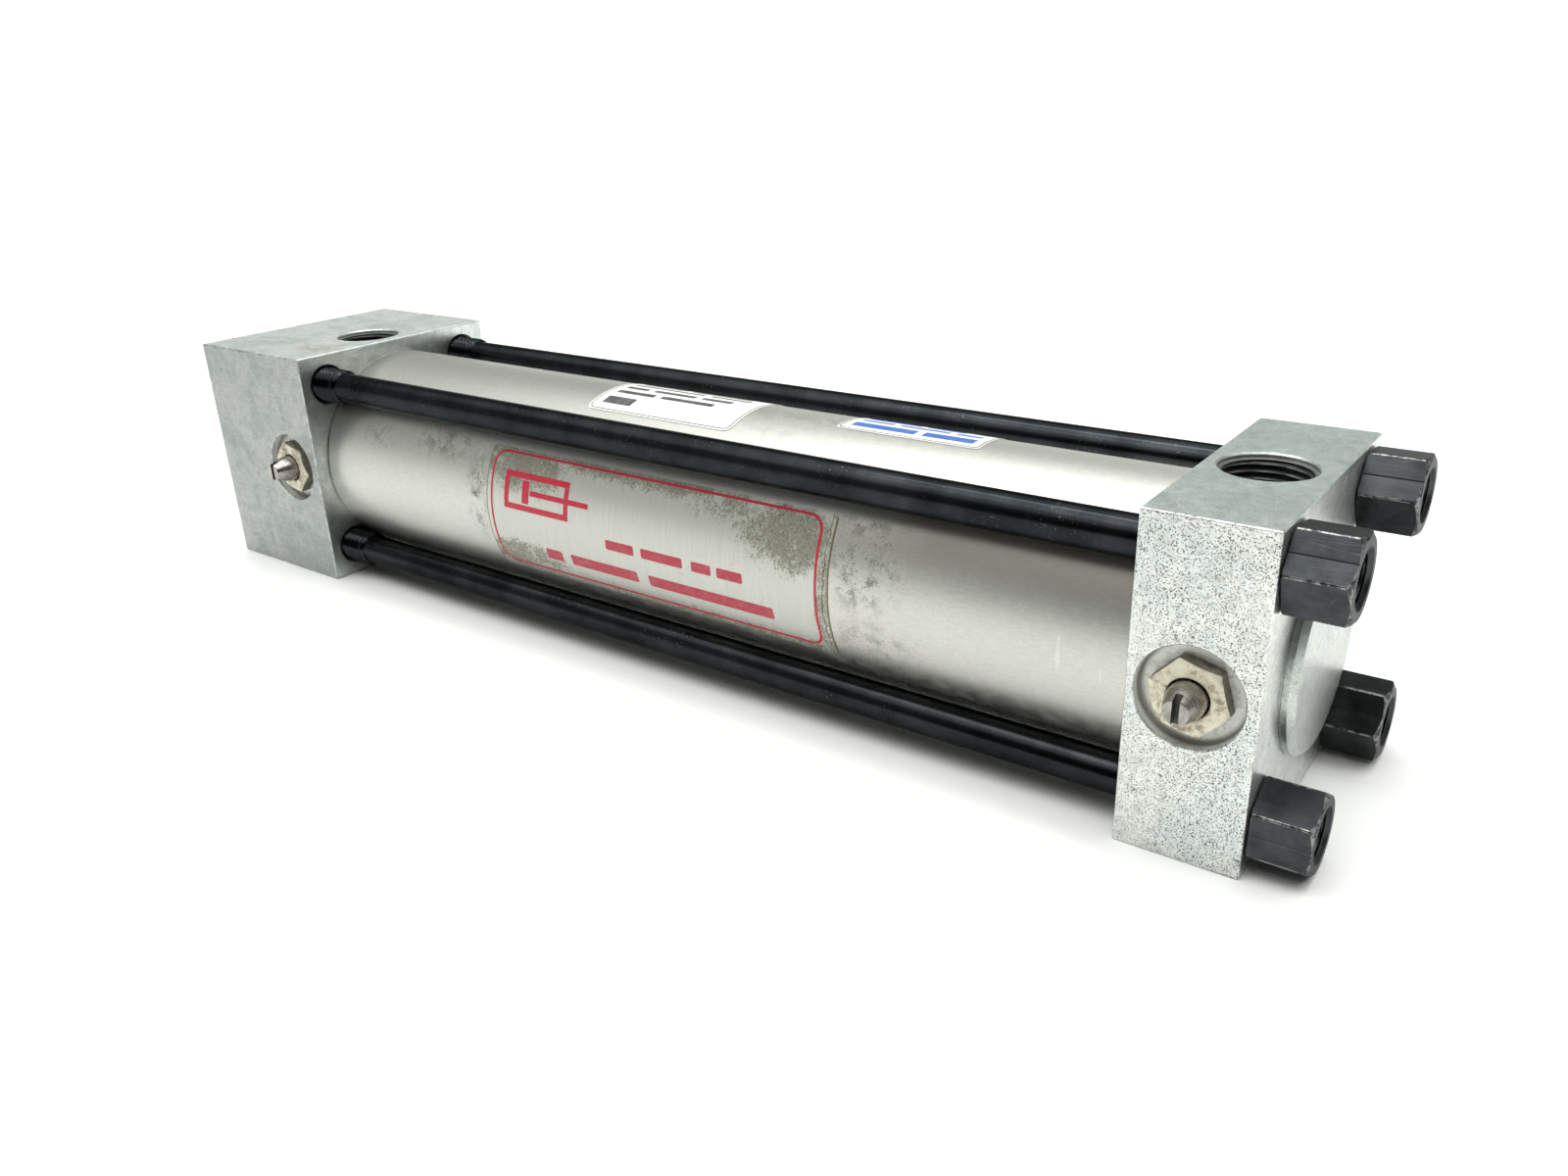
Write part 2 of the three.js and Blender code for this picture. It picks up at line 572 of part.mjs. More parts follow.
function pistonRod() {
  const flatsStart = ROD_END + ROD_THREAD_LENGTH;
  const body = bar([
    [ROD_END, ROD_THREAD_R - ROD_TIP_CHAMFER],
    [ROD_END + ROD_TIP_CHAMFER, ROD_THREAD_R],
    [flatsStart, ROD_THREAD_R],
    [flatsStart, ROD_R],
    [SHAFT_END, ROD_R],
    [SHAFT_END, SLEEVE_STEP_R],
    [PISTON_LEFT - GAP, SLEEVE_STEP_R],
    [PISTON_LEFT - GAP, STUD_R],
    [SPUD_START + STUD_LENGTH, STUD_R],
  ]);
  const flatCut = (side) => block(
    [flatsStart - 0.01, flatsStart + FLATS_LENGTH],
    [-ROD_R - 1, ROD_R + 1],
    side > 0 ? [FLATS_ACROSS / 2, ROD_R + 1] : [-ROD_R - 1, -FLATS_ACROSS / 2],
  );
  return body.subtract(flatCut(1)).subtract(flatCut(-1));
}

// Piston grooves from left to right: seal, wear ring, magnet, seal.
const SEAL_LAND = 1.4;           // piston's end to its seal groove
const SEAL_GROOVE = { width: 3.8, floor: 21.5 };
const GROOVES = {
  rodSeal: { ...SEAL_GROOVE, start: SEAL_LAND },
  wearRing: { start: 6.4, width: 3.6, floor: 22.8 },
  magnet: { start: 11.2, width: 3, floor: 21.5 },
  capSeal: { ...SEAL_GROOVE, start: PISTON_LENGTH - SEAL_LAND - SEAL_GROOVE.width },
};

function piston() {
  let body = flatRing(PISTON_LEFT, PISTON_RIGHT, STUD_R + GAP, PISTON_R);
  for (const { start, width, floor } of Object.values(GROOVES)) {
    const x = PISTON_LEFT + start;
    body = body.subtract(flatRing(x, x + width, floor, PISTON_R + 1));
  }
  return body;
}

function grooveRing({ start, width, floor }, outerR) {
  const x = PISTON_LEFT + start;
  return flatRing(x + GAP, x + width - GAP, floor + GAP, outerR);
}

const SEAL_NOTCH_DEPTH = 1.1;    // notch between the piston seal's lips
const SEAL_INNER_LIP = 1.7;
const SEAL_OUTER_LIP = 0.9;
const SEAL_BACK_CLEARANCE = 0.6;

// U-cup: its two lips face the pressure, which is the way `side` points.
function pistonSeal(groove, side) {
  const middle = PISTON_LEFT + groove.start + groove.width / 2;
  const half = groove.width / 2 - GAP;
  return turned([
    [middle - side * half, groove.floor + GAP],
    [middle + side * half, groove.floor + GAP],
    [middle + side * (half - SEAL_NOTCH_DEPTH), groove.floor + SEAL_INNER_LIP],
    [middle + side * half, PISTON_R],
    [middle + side * (half - SEAL_OUTER_LIP), PISTON_R],
    [middle - side * half, PISTON_R - SEAL_BACK_CLEARANCE],
  ]);
}

function cushionSpud() {
  const end = SPUD_START + SPUD_LENGTH;
  return bar([[SPUD_START, SPUD_R], [end - CUSHION_LEAD, SPUD_R], [end, SPUD_R - 1]])
    .subtract(rod(SPUD_START - 1, SPUD_START + STUD_LENGTH + GAP, STUD_R + GAP));
}

const cushionSleeve = () => turned([
  [PISTON_LEFT - GAP - SLEEVE_LENGTH, SLEEVE_STEP_R + GAP],
  [PISTON_LEFT - GAP, SLEEVE_STEP_R + GAP],
  [PISTON_LEFT - GAP, SLEEVE_R],
  [PISTON_LEFT - GAP - SLEEVE_LENGTH + CUSHION_LEAD, SLEEVE_R],
  [PISTON_LEFT - GAP - SLEEVE_LENGTH, SLEEVE_R - 1],
]);

add('piston_rod', pistonRod(), chromePlate);
add('piston', piston(), pistonAluminium);
add('piston_seal_rod_side', pistonSeal(GROOVES.rodSeal, -1), sealRubber);
add('piston_seal_cap_side', pistonSeal(GROOVES.capSeal, 1), sealRubber);
add('piston_wear_ring', grooveRing(GROOVES.wearRing, PISTON_R), wearPlastic);
add('position_magnet_ring', grooveRing(GROOVES.magnet, MAGNET_R), ferrite);
add('cushion_sleeve', cushionSleeve(), stainless);
add('cushion_spud_nut', cushionSpud(), stainless);

// ---- labels ---------------------------------------------------------------------------------------------

function label(x0, x1, from, to) {
  const inner = TUBE_R + GAP;
  const [start, end] = [180 - to, 180 - from].map(THREE.MathUtils.degToRad);
  const shape = new THREE.Shape();
  shape.absarc(0, 0, inner + LABEL_THICKNESS, start, end, false);
  shape.absarc(0, 0, inner, end, start, true);
  shape.closePath();
  const geometry = new THREE.ExtrudeGeometry(shape, {
    depth: x1 - x0,
    bevelEnabled: false,
    curveSegments: LABEL_SEGMENTS,
  });
  return solid(geometry.applyMatrix4(ALONG_X).translate(x0, 0, 0));
}

for (const [name, extent] of Object.entries(LABELS)) {
  add(name, label(...extent), labelFilm);
}

export default cylinder;
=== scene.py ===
"""Double-acting air cylinder of tie-rod build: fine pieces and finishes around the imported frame.

Every piece is drawn in millimetres about the cylinder's axis, x along it towards the cap head,
and is scaled and lifted into the shared frame when it is finished.
"""

import functools
import math

import bmesh
import bpy
import numpy as np
from mathutils import Euler, Matrix, Vector


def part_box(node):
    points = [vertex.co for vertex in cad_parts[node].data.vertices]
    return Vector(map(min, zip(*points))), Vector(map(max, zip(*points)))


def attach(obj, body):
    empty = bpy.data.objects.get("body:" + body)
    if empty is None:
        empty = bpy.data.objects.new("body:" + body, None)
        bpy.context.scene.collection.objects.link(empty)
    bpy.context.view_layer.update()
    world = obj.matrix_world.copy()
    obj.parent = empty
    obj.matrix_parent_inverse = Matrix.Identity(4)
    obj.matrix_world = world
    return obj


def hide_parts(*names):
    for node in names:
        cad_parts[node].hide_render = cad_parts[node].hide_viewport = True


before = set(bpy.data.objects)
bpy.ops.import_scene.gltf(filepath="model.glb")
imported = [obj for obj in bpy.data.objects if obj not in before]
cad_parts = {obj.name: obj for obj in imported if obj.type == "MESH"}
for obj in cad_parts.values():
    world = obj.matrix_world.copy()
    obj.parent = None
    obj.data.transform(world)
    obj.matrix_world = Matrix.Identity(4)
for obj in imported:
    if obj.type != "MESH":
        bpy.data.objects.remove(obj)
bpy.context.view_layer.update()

MM = 0.001
TAU = 2 * math.pi

# ---- sizes that several pieces share, in millimetres ----

SPIGOT_LENGTH = 4.5
SPIGOT_R = 25.1
PILOT_HEIGHT = 2.5
PORT_MOUTH_R = 8.85
COUNTERBORE_R = 9.5
COUNTERBORE_DEPTH = 3.0
STEM_HOLE_R = 6.3
STEM_DEPTH = 16.0
HEX_PROUD = 0.3
GAP = 0.3
ROD_R = 7.9375
ROD_HOLE_R = 8.94
GLAND_R = 14.7
SNAP_GROOVE = (1.75, 3.75)
TUBE_BORE_R = 25.4
TIE_PITCH = 1.5875
NUT_FLATS = 14.3
BUSHING_FLATS = 12.7
BUSHING_TURN = 13
NUT_TURNS = {"far_upper": 54, "near_upper": 52, "far_lower": 58, "near_lower": 88}

# ---- places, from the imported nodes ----


def box_mm(node):
    low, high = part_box(node)
    return low / MM, high / MM


def middle(node):
    low, high = box_mm(node)
    return (low + high) / 2


ROD_LOW, ROD_HIGH = box_mm("rod_head")
CAP_LOW, CAP_HIGH = box_mm("cap_head")
HALF = (CAP_HIGH.y - CAP_LOW.y) / 2
AXIS_Z = (CAP_LOW.z + CAP_HIGH.z) / 2
ROD_OUT = ROD_LOW.x
ROD_IN = ROD_HIGH.x - SPIGOT_LENGTH
CAP_IN = CAP_LOW.x + SPIGOT_LENGTH
CAP_OUT = CAP_HIGH.x - PILOT_HEIGHT
PORTS = {
    "rod_end": middle("cushion_needle_rod_end").x,
    "cap_end": middle("cushion_needle_cap_end").x,
}
TIES = {name: middle(f"tie_rod_{name}") for name in NUT_TURNS}
TUBE_R = (box_mm("cylinder_tube")[1].y - box_mm("cylinder_tube")[0].y) / 2
ROD_END = box_mm("piston_rod")[0].x

# ---- mesh making ----


def linked(name, data):
    """A new object that holds `data`, in the scene."""
    thing = bpy.data.objects.new(name, data)
    bpy.context.scene.collection.objects.link(thing)
    return thing


def mesh_of(name, shape):
    mesh = bpy.data.meshes.new(name)
    shape.to_mesh(mesh)
    shape.free()
    return mesh


def new_object(name, vertices, faces):
    mesh = bpy.data.meshes.new(name)
    mesh.from_pydata([tuple(v) for v in vertices], [], faces)
    shape = bmesh.new()
    shape.from_mesh(mesh)
    bmesh.ops.recalc_face_normals(shape, faces=shape.faces)
    shape.to_mesh(mesh)
    shape.free()
    return linked(name, mesh)


def turned(name, rows, segments=96, ring=False):
    """Solid of revolution about X from rows of (x, radius); a radius may vary round the turn."""
    angle = np.linspace(0, TAU, segments, endpoint=False)
    vertices, rings, faces = [], [], []
    for x, radius in rows:
        if np.isscalar(radius) and radius == 0:
            rings.append([len(vertices)])
            vertices.append((x, 0.0, 0.0))
            continue
        radii = np.broadcast_to(radius, segments)
        rings.append(list(range(len(vertices), len(vertices) + segments)))
        vertices.extend(zip(np.full(segments, x), radii * np.cos(angle), radii * np.sin(angle)))
    pairs = list(zip(rings, rings[1:]))
    if ring:
        pairs.append((rings[-1], rings[0]))
    for a, b in pairs:
        for i in range(segments):
            j = (i + 1) % segments
            if len(a) == 1:
                faces.append((a[0], b[j], b[i]))
            elif len(b) == 1:
                faces.append((a[i], a[j], b[0]))
            else:
                faces.append((a[i], a[j], b[j], b[i]))
    return new_object(name, vertices, faces)


def bar(name, steps, segments=96):
    """Bar on the X axis from (x, radius) steps, closed at both ends."""
    return turned(name, [(steps[0][0], 0), *steps, (steps[-1][0], 0)], segments)


def thread_rows(x0, x1, low, high, pitch, segments=96, fade=1.2, bore=False):
    """Rows of a right-hand thread that runs out at both ends, cut into a bar or a bore."""
    steps_per_turn = 9
    crest_flat = 0.12
    angle = np.linspace(0, 1, segments, endpoint=False)
    count = max(2, round((x1 - x0) / pitch * steps_per_turn))
    rows = []
    for x in np.linspace(x0, x1, count + 1):
        wave = 1 - np.abs(2 * ((x / pitch - angle) % 1) - 1)
        ridge = np.clip((wave - crest_flat) / (1 - 2 * crest_flat), 0, 1)
        run = min(1.0, (x - x0) / fade, (x1 - x) / fade)
        if bore:
            rows.append((x, low + (high - low) * ridge * run))
        else:
            rows.append((x, high - (high - low) * (1 - ridge) * run))
    return rows


def block(name, low, high, bevel=0.4, segments=3):
    shape = bmesh.new()
    bmesh.ops.create_cube(shape, size=1)
    size = [b - a for a, b in zip(low, high)]
    centre = [(a + b) / 2 for a, b in zip(low, high)]
    bmesh.ops.scale(shape, vec=size, verts=shape.verts)
    bmesh.ops.translate(shape, vec=centre, verts=shape.verts)
    if bevel:
        edges = shape.edges[:]
        bmesh.ops.bevel(shape, geom=edges, offset=bevel, segments=segments, profile=0.5, affect="EDGES")
    return linked(name, mesh_of(name, shape))


DRAWN_LINE = ((-0.14, 0.1), (0.0, 0.23), (0.14, 0.1))


def hex_bar(name, x0, x1, flats, angle, bevel=0.3, drawn=False):
    """Hexagonal bar on the X axis with rounded corners.

    `drawn` sinks a fine line along every other flat, from DRAWN_LINE's (aside, depth) points."""
    corner = flats / math.sqrt(3)
    ring = []
    for i in range(6):
        start = math.radians(angle + 60 * i)
        ring.append((corner * math.cos(start), corner * math.sin(start)))
        middle_turn = start + math.radians(30)
        for aside, sunk in DRAWN_LINE if drawn and i % 2 else ():
            radius = flats / 2 - sunk
            y = radius * math.cos(middle_turn) - aside * math.sin(middle_turn)
            z = radius * math.sin(middle_turn) + aside * math.cos(middle_turn)
            ring.append((y, z))
    shape = bmesh.new()
    ends = [[shape.verts.new((x, y, z)) for y, z in ring] for x in (x0, x1)]
    shape.faces.new(ends[0])
    shape.faces.new(list(reversed(ends[1])))
    for i in range(len(ring)):
        j = (i + 1) % len(ring)
        shape.faces.new((ends[0][i], ends[1][i], ends[1][j], ends[0][j]))
    bmesh.ops.recalc_face_normals(shape, faces=shape.faces)
    corners = []
    for edge in shape.edges:
        a, b = (v.co for v in edge.verts)
        if a.x != b.x and a.yz.length > flats / 2 + 0.1:
            corners.append(edge)
    bmesh.ops.bevel(shape, geom=corners, offset=bevel, segments=2, profile=0.5, affect="EDGES")
    return linked(name, mesh_of(name, shape))


def moved(thing, x=0.0, y=0.0, z=0.0, turn=(0, 0, 0)):
    rotation = Euler([math.radians(a) for a in turn]).to_matrix().to_4x4()
    thing.data.transform(Matrix.Translation((x, y, z)) @ rotation)
    return thing


def carve(thing, *tools):
    """Applies (operation, tool) pairs in turn and removes the tools."""
    for operation, tool in tools:
        cut = thing.modifiers.new("cut", "BOOLEAN")
        cut.operation = operation
        cut.solver = "MANIFOLD"
        cut.object = tool
    graph = bpy.context.evaluated_depsgraph_get()
    graph.update()
    mesh = bpy.data.meshes.new_from_object(thing.evaluated_get(graph))
    thing.modifiers.clear()
    old, thing.data = thing.data, mesh
    bpy.data.meshes.remove(old)
    for _, tool in tools:
        bpy.data.objects.remove(tool)
    return thing


def done(thing, body, slot, nodes, *materials, smooth=32.0, even=False):
    """Scales a piece into the frame, shades it, and puts it on its body in place of its nodes.

    `smooth` is the angle in degrees past which an edge stays sharp; `even` suits carved flat faces."""
    mesh = thing.data
    mesh.transform(Matrix.Translation((0, 0, AXIS_Z * MM)) @ Matrix.Scale(MM, 4))
    mesh.polygons.foreach_set("use_smooth", [True] * len(mesh.polygons))
    mesh.set_sharp_from_angle(angle=math.radians(smooth))
    while len(mesh.materials) < len(materials):
        mesh.materials.append(None)
    for i, material in enumerate(materials):
        mesh.materials[i] = material
    if even:
        normals = thing.modifiers.new("even_normals", "WEIGHTED_NORMAL")
        normals.keep_sharp = True
        normals.weight = 100
    mesh.update()
    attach(thing, body)
    if nodes:
        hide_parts(*nodes)
    return thing


# ---- node trees ----


class Tree:
    """Short names for the nodes that the materials and the world are made of."""

    def __init__(self, node_tree):
        self.nodes = node_tree.nodes
        self.link = node_tree.links.new

    def make(self, kind, inputs, output=0, **settings):
        node = self.nodes.new(kind)
        for key, value in settings.items():
            setattr(node, key, value)
        for key, value in inputs.items():
            if isinstance(value, bpy.types.NodeSocket):
                self.link(value, node.inputs[key])
            else:
                node.inputs[key].default_value = value
        return node.outputs[output]

    def split(self, vector):
        node = self.nodes.new("ShaderNodeSeparateXYZ")
        self.link(vector, node.inputs[0])
        return node.outputs

    def math(self, operation, a, b=0.0, clamp=False):
        return self.make("ShaderNodeMath", {0: a, 1: b}, operation=operation, use_clamp=clamp)

    def fold(self, operation, values):
        return functools.reduce(lambda a, b: self.math(operation, a, b), values)

    def add(self, *values):
        return self.fold("ADD", values)

    def sub(self, a, b):
        return self.math("SUBTRACT", a, b)

    def mul(self, *values):
        return self.fold("MULTIPLY", values)

    def low(self, *values):
        return self.fold("MINIMUM", values)

    def high(self, *values):
        return self.fold("MAXIMUM", values)

    def step(self, value, start, end, to_start=0.0, to_end=1.0):
        """Smooth change from `to_start` at `start` to `to_end` at `end`."""
        limits = {"From Min": start, "From Max": end, "To Min": to_start, "To Max": to_end}
        kind = "ShaderNodeMapRange"
        return self.make(kind, {"Value": value, **limits}, interpolation_type="SMOOTHSTEP")


class Paint(Tree):
    """One material's node tree; `place` is the point on the object in millimetres."""

    def __init__(self, name, metallic=0.0, roughness=0.5, **sockets):
        self.material = bpy.data.materials.new(name)
        self.material.use_nodes = True
        super().__init__(self.material.node_tree)
        self.shader = self.nodes["Principled BSDF"]
        self.shader.inputs["Metallic"].default_value = metallic
        self.shader.inputs["Roughness"].default_value = roughness
        for socket, value in sockets.items():
            self.shader.inputs[socket.replace("_", " ")].default_value = value
        metres = self.nodes.new("ShaderNodeTexCoord").outputs["Object"]
        self.place = self.make("ShaderNodeVectorMath", {0: metres, "Scale": 1 / MM}, operation="SCALE")
        self.x, self.y, self.z = self.split(self.place)

    def point(self, x, y, z=0.0):
        return self.make("ShaderNodeCombineXYZ", {0: x, 1: y, 2: z})

    def stretched(self, x, y, z):
        return self.make("ShaderNodeVectorMath", {0: self.place, 1: (x, y, z)}, operation="MULTIPLY")

    def noise(self, scale, detail=3.0, rough=0.55, at=None, warp=0.0):
        shape = {"Scale": scale, "Detail": detail, "Roughness": rough, "Distortion": warp}
        return self.make("ShaderNodeTexNoise", {"Vector": at or self.place, **shape})

    def cells(self, scale):
        return self.make("ShaderNodeTexVoronoi", {"Vector": self.place, "Scale": scale})

    def blend(self, factor, a, b):
        return self.make("ShaderNodeMix", {0: factor, 2: a, 3: b}, data_type="FLOAT")

    def tint(self, factor, a, b, mode="MIX"):
        a, b = (v if isinstance(v, bpy.types.NodeSocket) else (*v, 1.0) for v in (a, b))
        mix = {0: factor, 6: a, 7: b}
        return self.make("ShaderNodeMix", mix, output=2, data_type="RGBA", blend_type=mode)

    def coats(self, color, *coats):
        """Lays coats of (factor, colour, blend mode if not MIX) over a colour, one after another."""
        for factor, coat, *mode in coats:
            color = self.tint(factor, color, coat, *mode)
        return color

    def hairlines(self, at, width=0.006, seed=0.0):
        """Thin broken curved lines: a narrow level band of a stretched noise."""
        field = self.noise(1.0, 1.0, 0.4, at=at)
        line = self.step(self.math("ABSOLUTE", self.sub(field, 0.5 + seed)), width, width * 0.3)
        return self.mul(line, self.step(self.noise(0.11, 2.0), 0.5, 0.6))

    def bump(self, height, distance_mm, strength=1.0, base=None):
        inputs = {"Height": height, "Distance": distance_mm * MM, "Strength": strength}
        if base is not None:
            inputs["Normal"] = base
        return self.make("ShaderNodeBump", inputs)

    def finish(self, color, roughness, normal, metallic=None):
        made = {"Base Color": color, "Roughness": roughness, "Normal": normal, "Metallic": metallic}
        for socket, value in made.items():
            if value is not None:
                self.link(value, self.shader.inputs[socket])
        return self.material


def edge_distance(p, low, high):
    """Distance to a box's nearest edge: the middle one of the distances to its faces."""
    away = [p.low(p.sub(v, a), p.sub(b, v)) for v, a, b in zip((p.x, p.y, p.z), low, high)]
    total = p.add(away[0], away[1], away[2])
    return p.sub(p.sub(total, p.low(*away)), p.high(*away))


def squared_distance(p, u, v, centre):
    du, dv = p.sub(u, centre[0]), p.sub(v, centre[1])
    return p.add(p.mul(du, du), p.mul(dv, dv))


def rim(p, u, v, centre, radius, width):
    """1 on a circle in the plane of u and v, falling to 0 at `width` from it."""
    distance = p.math("SQRT", squared_distance(p, u, v, centre))
    return p.step(p.math("ABSOLUTE", p.sub(distance, radius)), width, 0.0)


def inside(p, u, v, centre, radius):
    """1 within a circle in the plane of u and v."""
    return p.math("LESS_THAN", squared_distance(p, u, v, centre), radius * radius)


def zinc(name, x0, x1, port_x, pitting, near_face_shade, top_face_shade, rubbed, stained):
    """Zinc plate on machined bar: mottled, pitted, scratched, and rubbed bright along its edges, with painted
    shade on its faces by the way they face the light, inside the port and in the counterbore's corner.
    """
    p = Paint(name, roughness=0.42)
    low, high = Vector((x0, CAP_LOW.y, CAP_LOW.z)), Vector((x1, CAP_HIGH.y, CAP_HIGH.z))
    edge = edge_distance(p, low, high)
    cloud = p.noise(0.055, 4.0, 0.6)
    mottle = p.noise(0.5, 5.0, 0.65, warp=0.4)
    grain = p.noise(4.0, 3.0, 0.6)
    drawn = p.noise(1.0, 3.0, 0.6, at=p.stretched(0.05, 2.6, 2.6))

    # Where a point is: on the side with the needle, the top, an end, in the counterbore or the port.
    near_face = p.step(p.y, low.y + 0.6, low.y + 0.2)
    top_face = p.step(p.z, high.z - 0.3, high.z - 0.05)
    end_face = p.step(p.x, high.x - 0.1, high.x)
    bore_centre, port_centre = (port_x, AXIS_Z), (port_x, 0.0)
    bore_edge = COUNTERBORE_R + 0.2
    in_bore = p.mul(inside(p, p.x, p.z, bore_centre, bore_edge), p.step(p.y, low.y + 0.3, low.y + 0.6))
    in_bore = p.mul(in_bore, p.step(p.y, low.y + 4.5, low.y + 3.5))
    in_port = inside(p, p.x, p.y, port_centre, PORT_MOUTH_R + 0.1)
    in_port = p.mul(in_port, p.step(p.z, high.z - 0.5, high.z - 1.2))
    in_port = p.mul(in_port, p.step(p.z, high.z - 30, high.z - 28))

    region = p.step(p.noise(0.07, 3.0), 0.3, 0.6, 0.5)
    spots = p.high(p.step(p.noise(3.3, 2.5, 0.55), 0.56, 0.61), p.step(p.noise(0.8, 4.0, 0.65), 0.645, 0.70))
    pits = p.mul(spots, p.mul(region, p.blend(near_face, pitting * 0.5, pitting)))
    bright_spots = p.mul(p.step(p.noise(2.7, 2.0, 0.5, at=p.stretched(1.0, 1.2, 1.1)), 0.6, 0.66), 0.35)
    scratches = p.high(
        p.hairlines(p.stretched(0.03, 0.03, 0.35)),
        p.hairlines(p.stretched(0.22, 0.25, 0.05), 0.003, 0.04),
    )
    scratch_drop = 24.5
    wander = p.add(p.mul(p.x, -0.05), p.mul(p.noise(0.12, 2.0), 1.6))
    across = p.math("ABSOLUTE", p.add(p.sub(p.z, high.z - scratch_drop), wander))
    long_scratch = p.mul(p.step(across, 0.22, 0.08), p.step(p.noise(0.5, 3.0), 0.38, 0.5))
    scratches = p.high(scratches, p.mul(long_scratch, near_face, pitting))
    wear_width = p.add(0.02, p.mul(p.step(p.noise(0.35, 3.0), 0.3, 0.75), 0.8))
    worn = p.math("SUBTRACT", 1.0, p.math("DIVIDE", edge, wear_width), clamp=True)
    mouth = p.high(
        rim(p, p.x, p.y, port_centre, PORT_MOUTH_R + 0.05, 0.3),
        rim(p, p.x, p.z, bore_centre, bore_edge, 0.4),
    )
    worn = p.high(worn, p.mul(mouth, p.step(mottle, 0.35, 0.7, 0.0, 0.8)))
    stain = p.mul(p.step(p.noise(0.16, 4.0, 0.65), 0.56, 0.75), 0.5)

    # The counterbore: pale and matt, with turning rings, grime, and painted shade in its corner.
    corner_shade = rim(p, p.x, p.z, bore_centre, COUNTERBORE_R, 1.1)
    corner_shade = p.mul(corner_shade, p.step(p.y, low.y + 1.0, low.y + 2.6))
    grime_and_shade = p.high(corner_shade, p.mul(p.step(p.noise(0.7, 4.0, 0.7), 0.48, 0.70), 0.6))
    bore_distance = p.math("SQRT", squared_distance(p, p.x, p.z, bore_centre))
    turning = p.noise(1.0, 3.0, 0.7, at=p.point(p.mul(bore_distance, 2.6), p.mul(mottle, 0.8)))

    smudge_x = p.math("DIVIDE", p.sub(p.x, port_x + 4), 11.0)
    smudge_y = p.math("DIVIDE", p.add(p.y, 19), 5.0)
    smudge = p.step(p.add(p.mul(smudge_x, smudge_x), p.mul(smudge_y, smudge_y)), 1.0, 0.1)
    smudge = p.mul(smudge, top_face, p.step(p.noise(0.4, 4.0, 0.65), 0.35, 0.65, 0.0, stained))
    sides = p.mul(p.sub(1.0, top_face), p.sub(1.0, near_face))
    sides = p.mul(sides, p.mul(p.sub(1.0, end_face), p.sub(1.0, in_bore)))
    blotch = p.step(p.noise(0.075, 5.0, 0.6, warp=1.2), 0.42, 0.62)
    color = p.coats(
        p.tint(p.step(mottle, 0.3, 0.72), (0.64, 0.66, 0.64), (0.84, 0.86, 0.835)),
        (p.mul(p.step(cloud, 0.4, 0.65), 0.4), (0.66, 0.71, 0.69)),
        (p.mul(p.step(drawn, 0.35, 0.7), 0.2), (0.40, 0.42, 0.41)),
        (stain, (0.46, 0.46, 0.42)),
        (bright_spots, (0.80, 0.81, 0.79)),
        (p.mul(scratches, 0.55), (0.92, 0.94, 0.93)),
        (p.mul(worn, rubbed), (0.84, 0.86, 0.85)),
        (pits, (0.10, 0.10, 0.085)),
        (p.mul(in_bore, 0.85), (0.95, 0.95, 0.90)),
        (p.mul(in_bore, p.step(turning, 0.45, 0.7), 0.45), (0.42, 0.42, 0.38)),
        # Painted shade in the counterbore's corner, mixed with grime.
        (p.mul(in_bore, grime_and_shade, 0.75), (0.16, 0.15, 0.12)),
        # Painted shade: the inside of the port is painted nearly black.
        (p.mul(in_port, 0.88), (0.09, 0.095, 0.095)),
        (smudge, (0.42, 0.37, 0.30)),
        # Painted shade, face by face: the near face and the top, away from their rubbed edges, and the other
        # sides are darkened by the way the light falls on them.
        (p.mul(near_face, p.sub(1.0, worn)), (near_face_shade,) * 3, "MULTIPLY"),
        (sides, (0.68, 0.70, 0.69), "MULTIPLY"),
        (p.mul(top_face, p.sub(1.0, worn)), top_face_shade, "MULTIPLY"),
        # Painted shade: what stands out past the block's face at high x, the cap's pilot and the rod head's
        # spigot, is darkened.
        (p.step(p.x, high.x + 0.2, high.x + 0.5), (0.72, 0.74, 0.73), "MULTIPLY"),
        (p.mul(blotch, 0.35 + stained), (0.78, 0.83, 0.84), "MULTIPLY"),
    )
    metallic = p.blend(in_bore, 0.95, 0.25)
    roughness = p.add(p.blend(mottle, 0.34, 0.50), p.mul(pits, 0.2))
    roughness = p.blend(p.mul(end_face, 0.55), roughness, 0.2)
    roughness = p.blend(p.mul(worn, rubbed), roughness, 0.24)
    normal = p.bump(p.add(p.mul(mottle, 0.7), p.mul(drawn, 0.6)), 0.02)
    normal = p.bump(grain, 0.008, 0.8, normal)
    normal = p.bump(p.sub(1.0, p.add(pits, p.mul(scratches, 0.5))), 0.06, 1.0, normal)
    return p.finish(color, roughness, normal, metallic)


def around_tube(p):
    """Angle in degrees from -Y up towards +Z, about the cylinder's axis."""
    return p.math("DEGREES", p.math("ARCTAN2", p.sub(p.z, AXIS_Z), p.mul(p.y, -1.0)))


def patch(p, angle, centre, spread, strength=1.0):
    """`strength` at a place on the tube (x in mm, angle in degrees), falling to 0 at its spread."""
    du = p.math("DIVIDE", p.sub(p.x, centre[0]), spread[0])
    dv = p.math("DIVIDE", p.sub(angle, centre[1]), spread[1])
    spot = p.step(p.math("SQRT", p.add(p.mul(du, du), p.mul(dv, dv))), 1.0, 0.2)
    return spot if strength == 1.0 else p.mul(spot, strength)


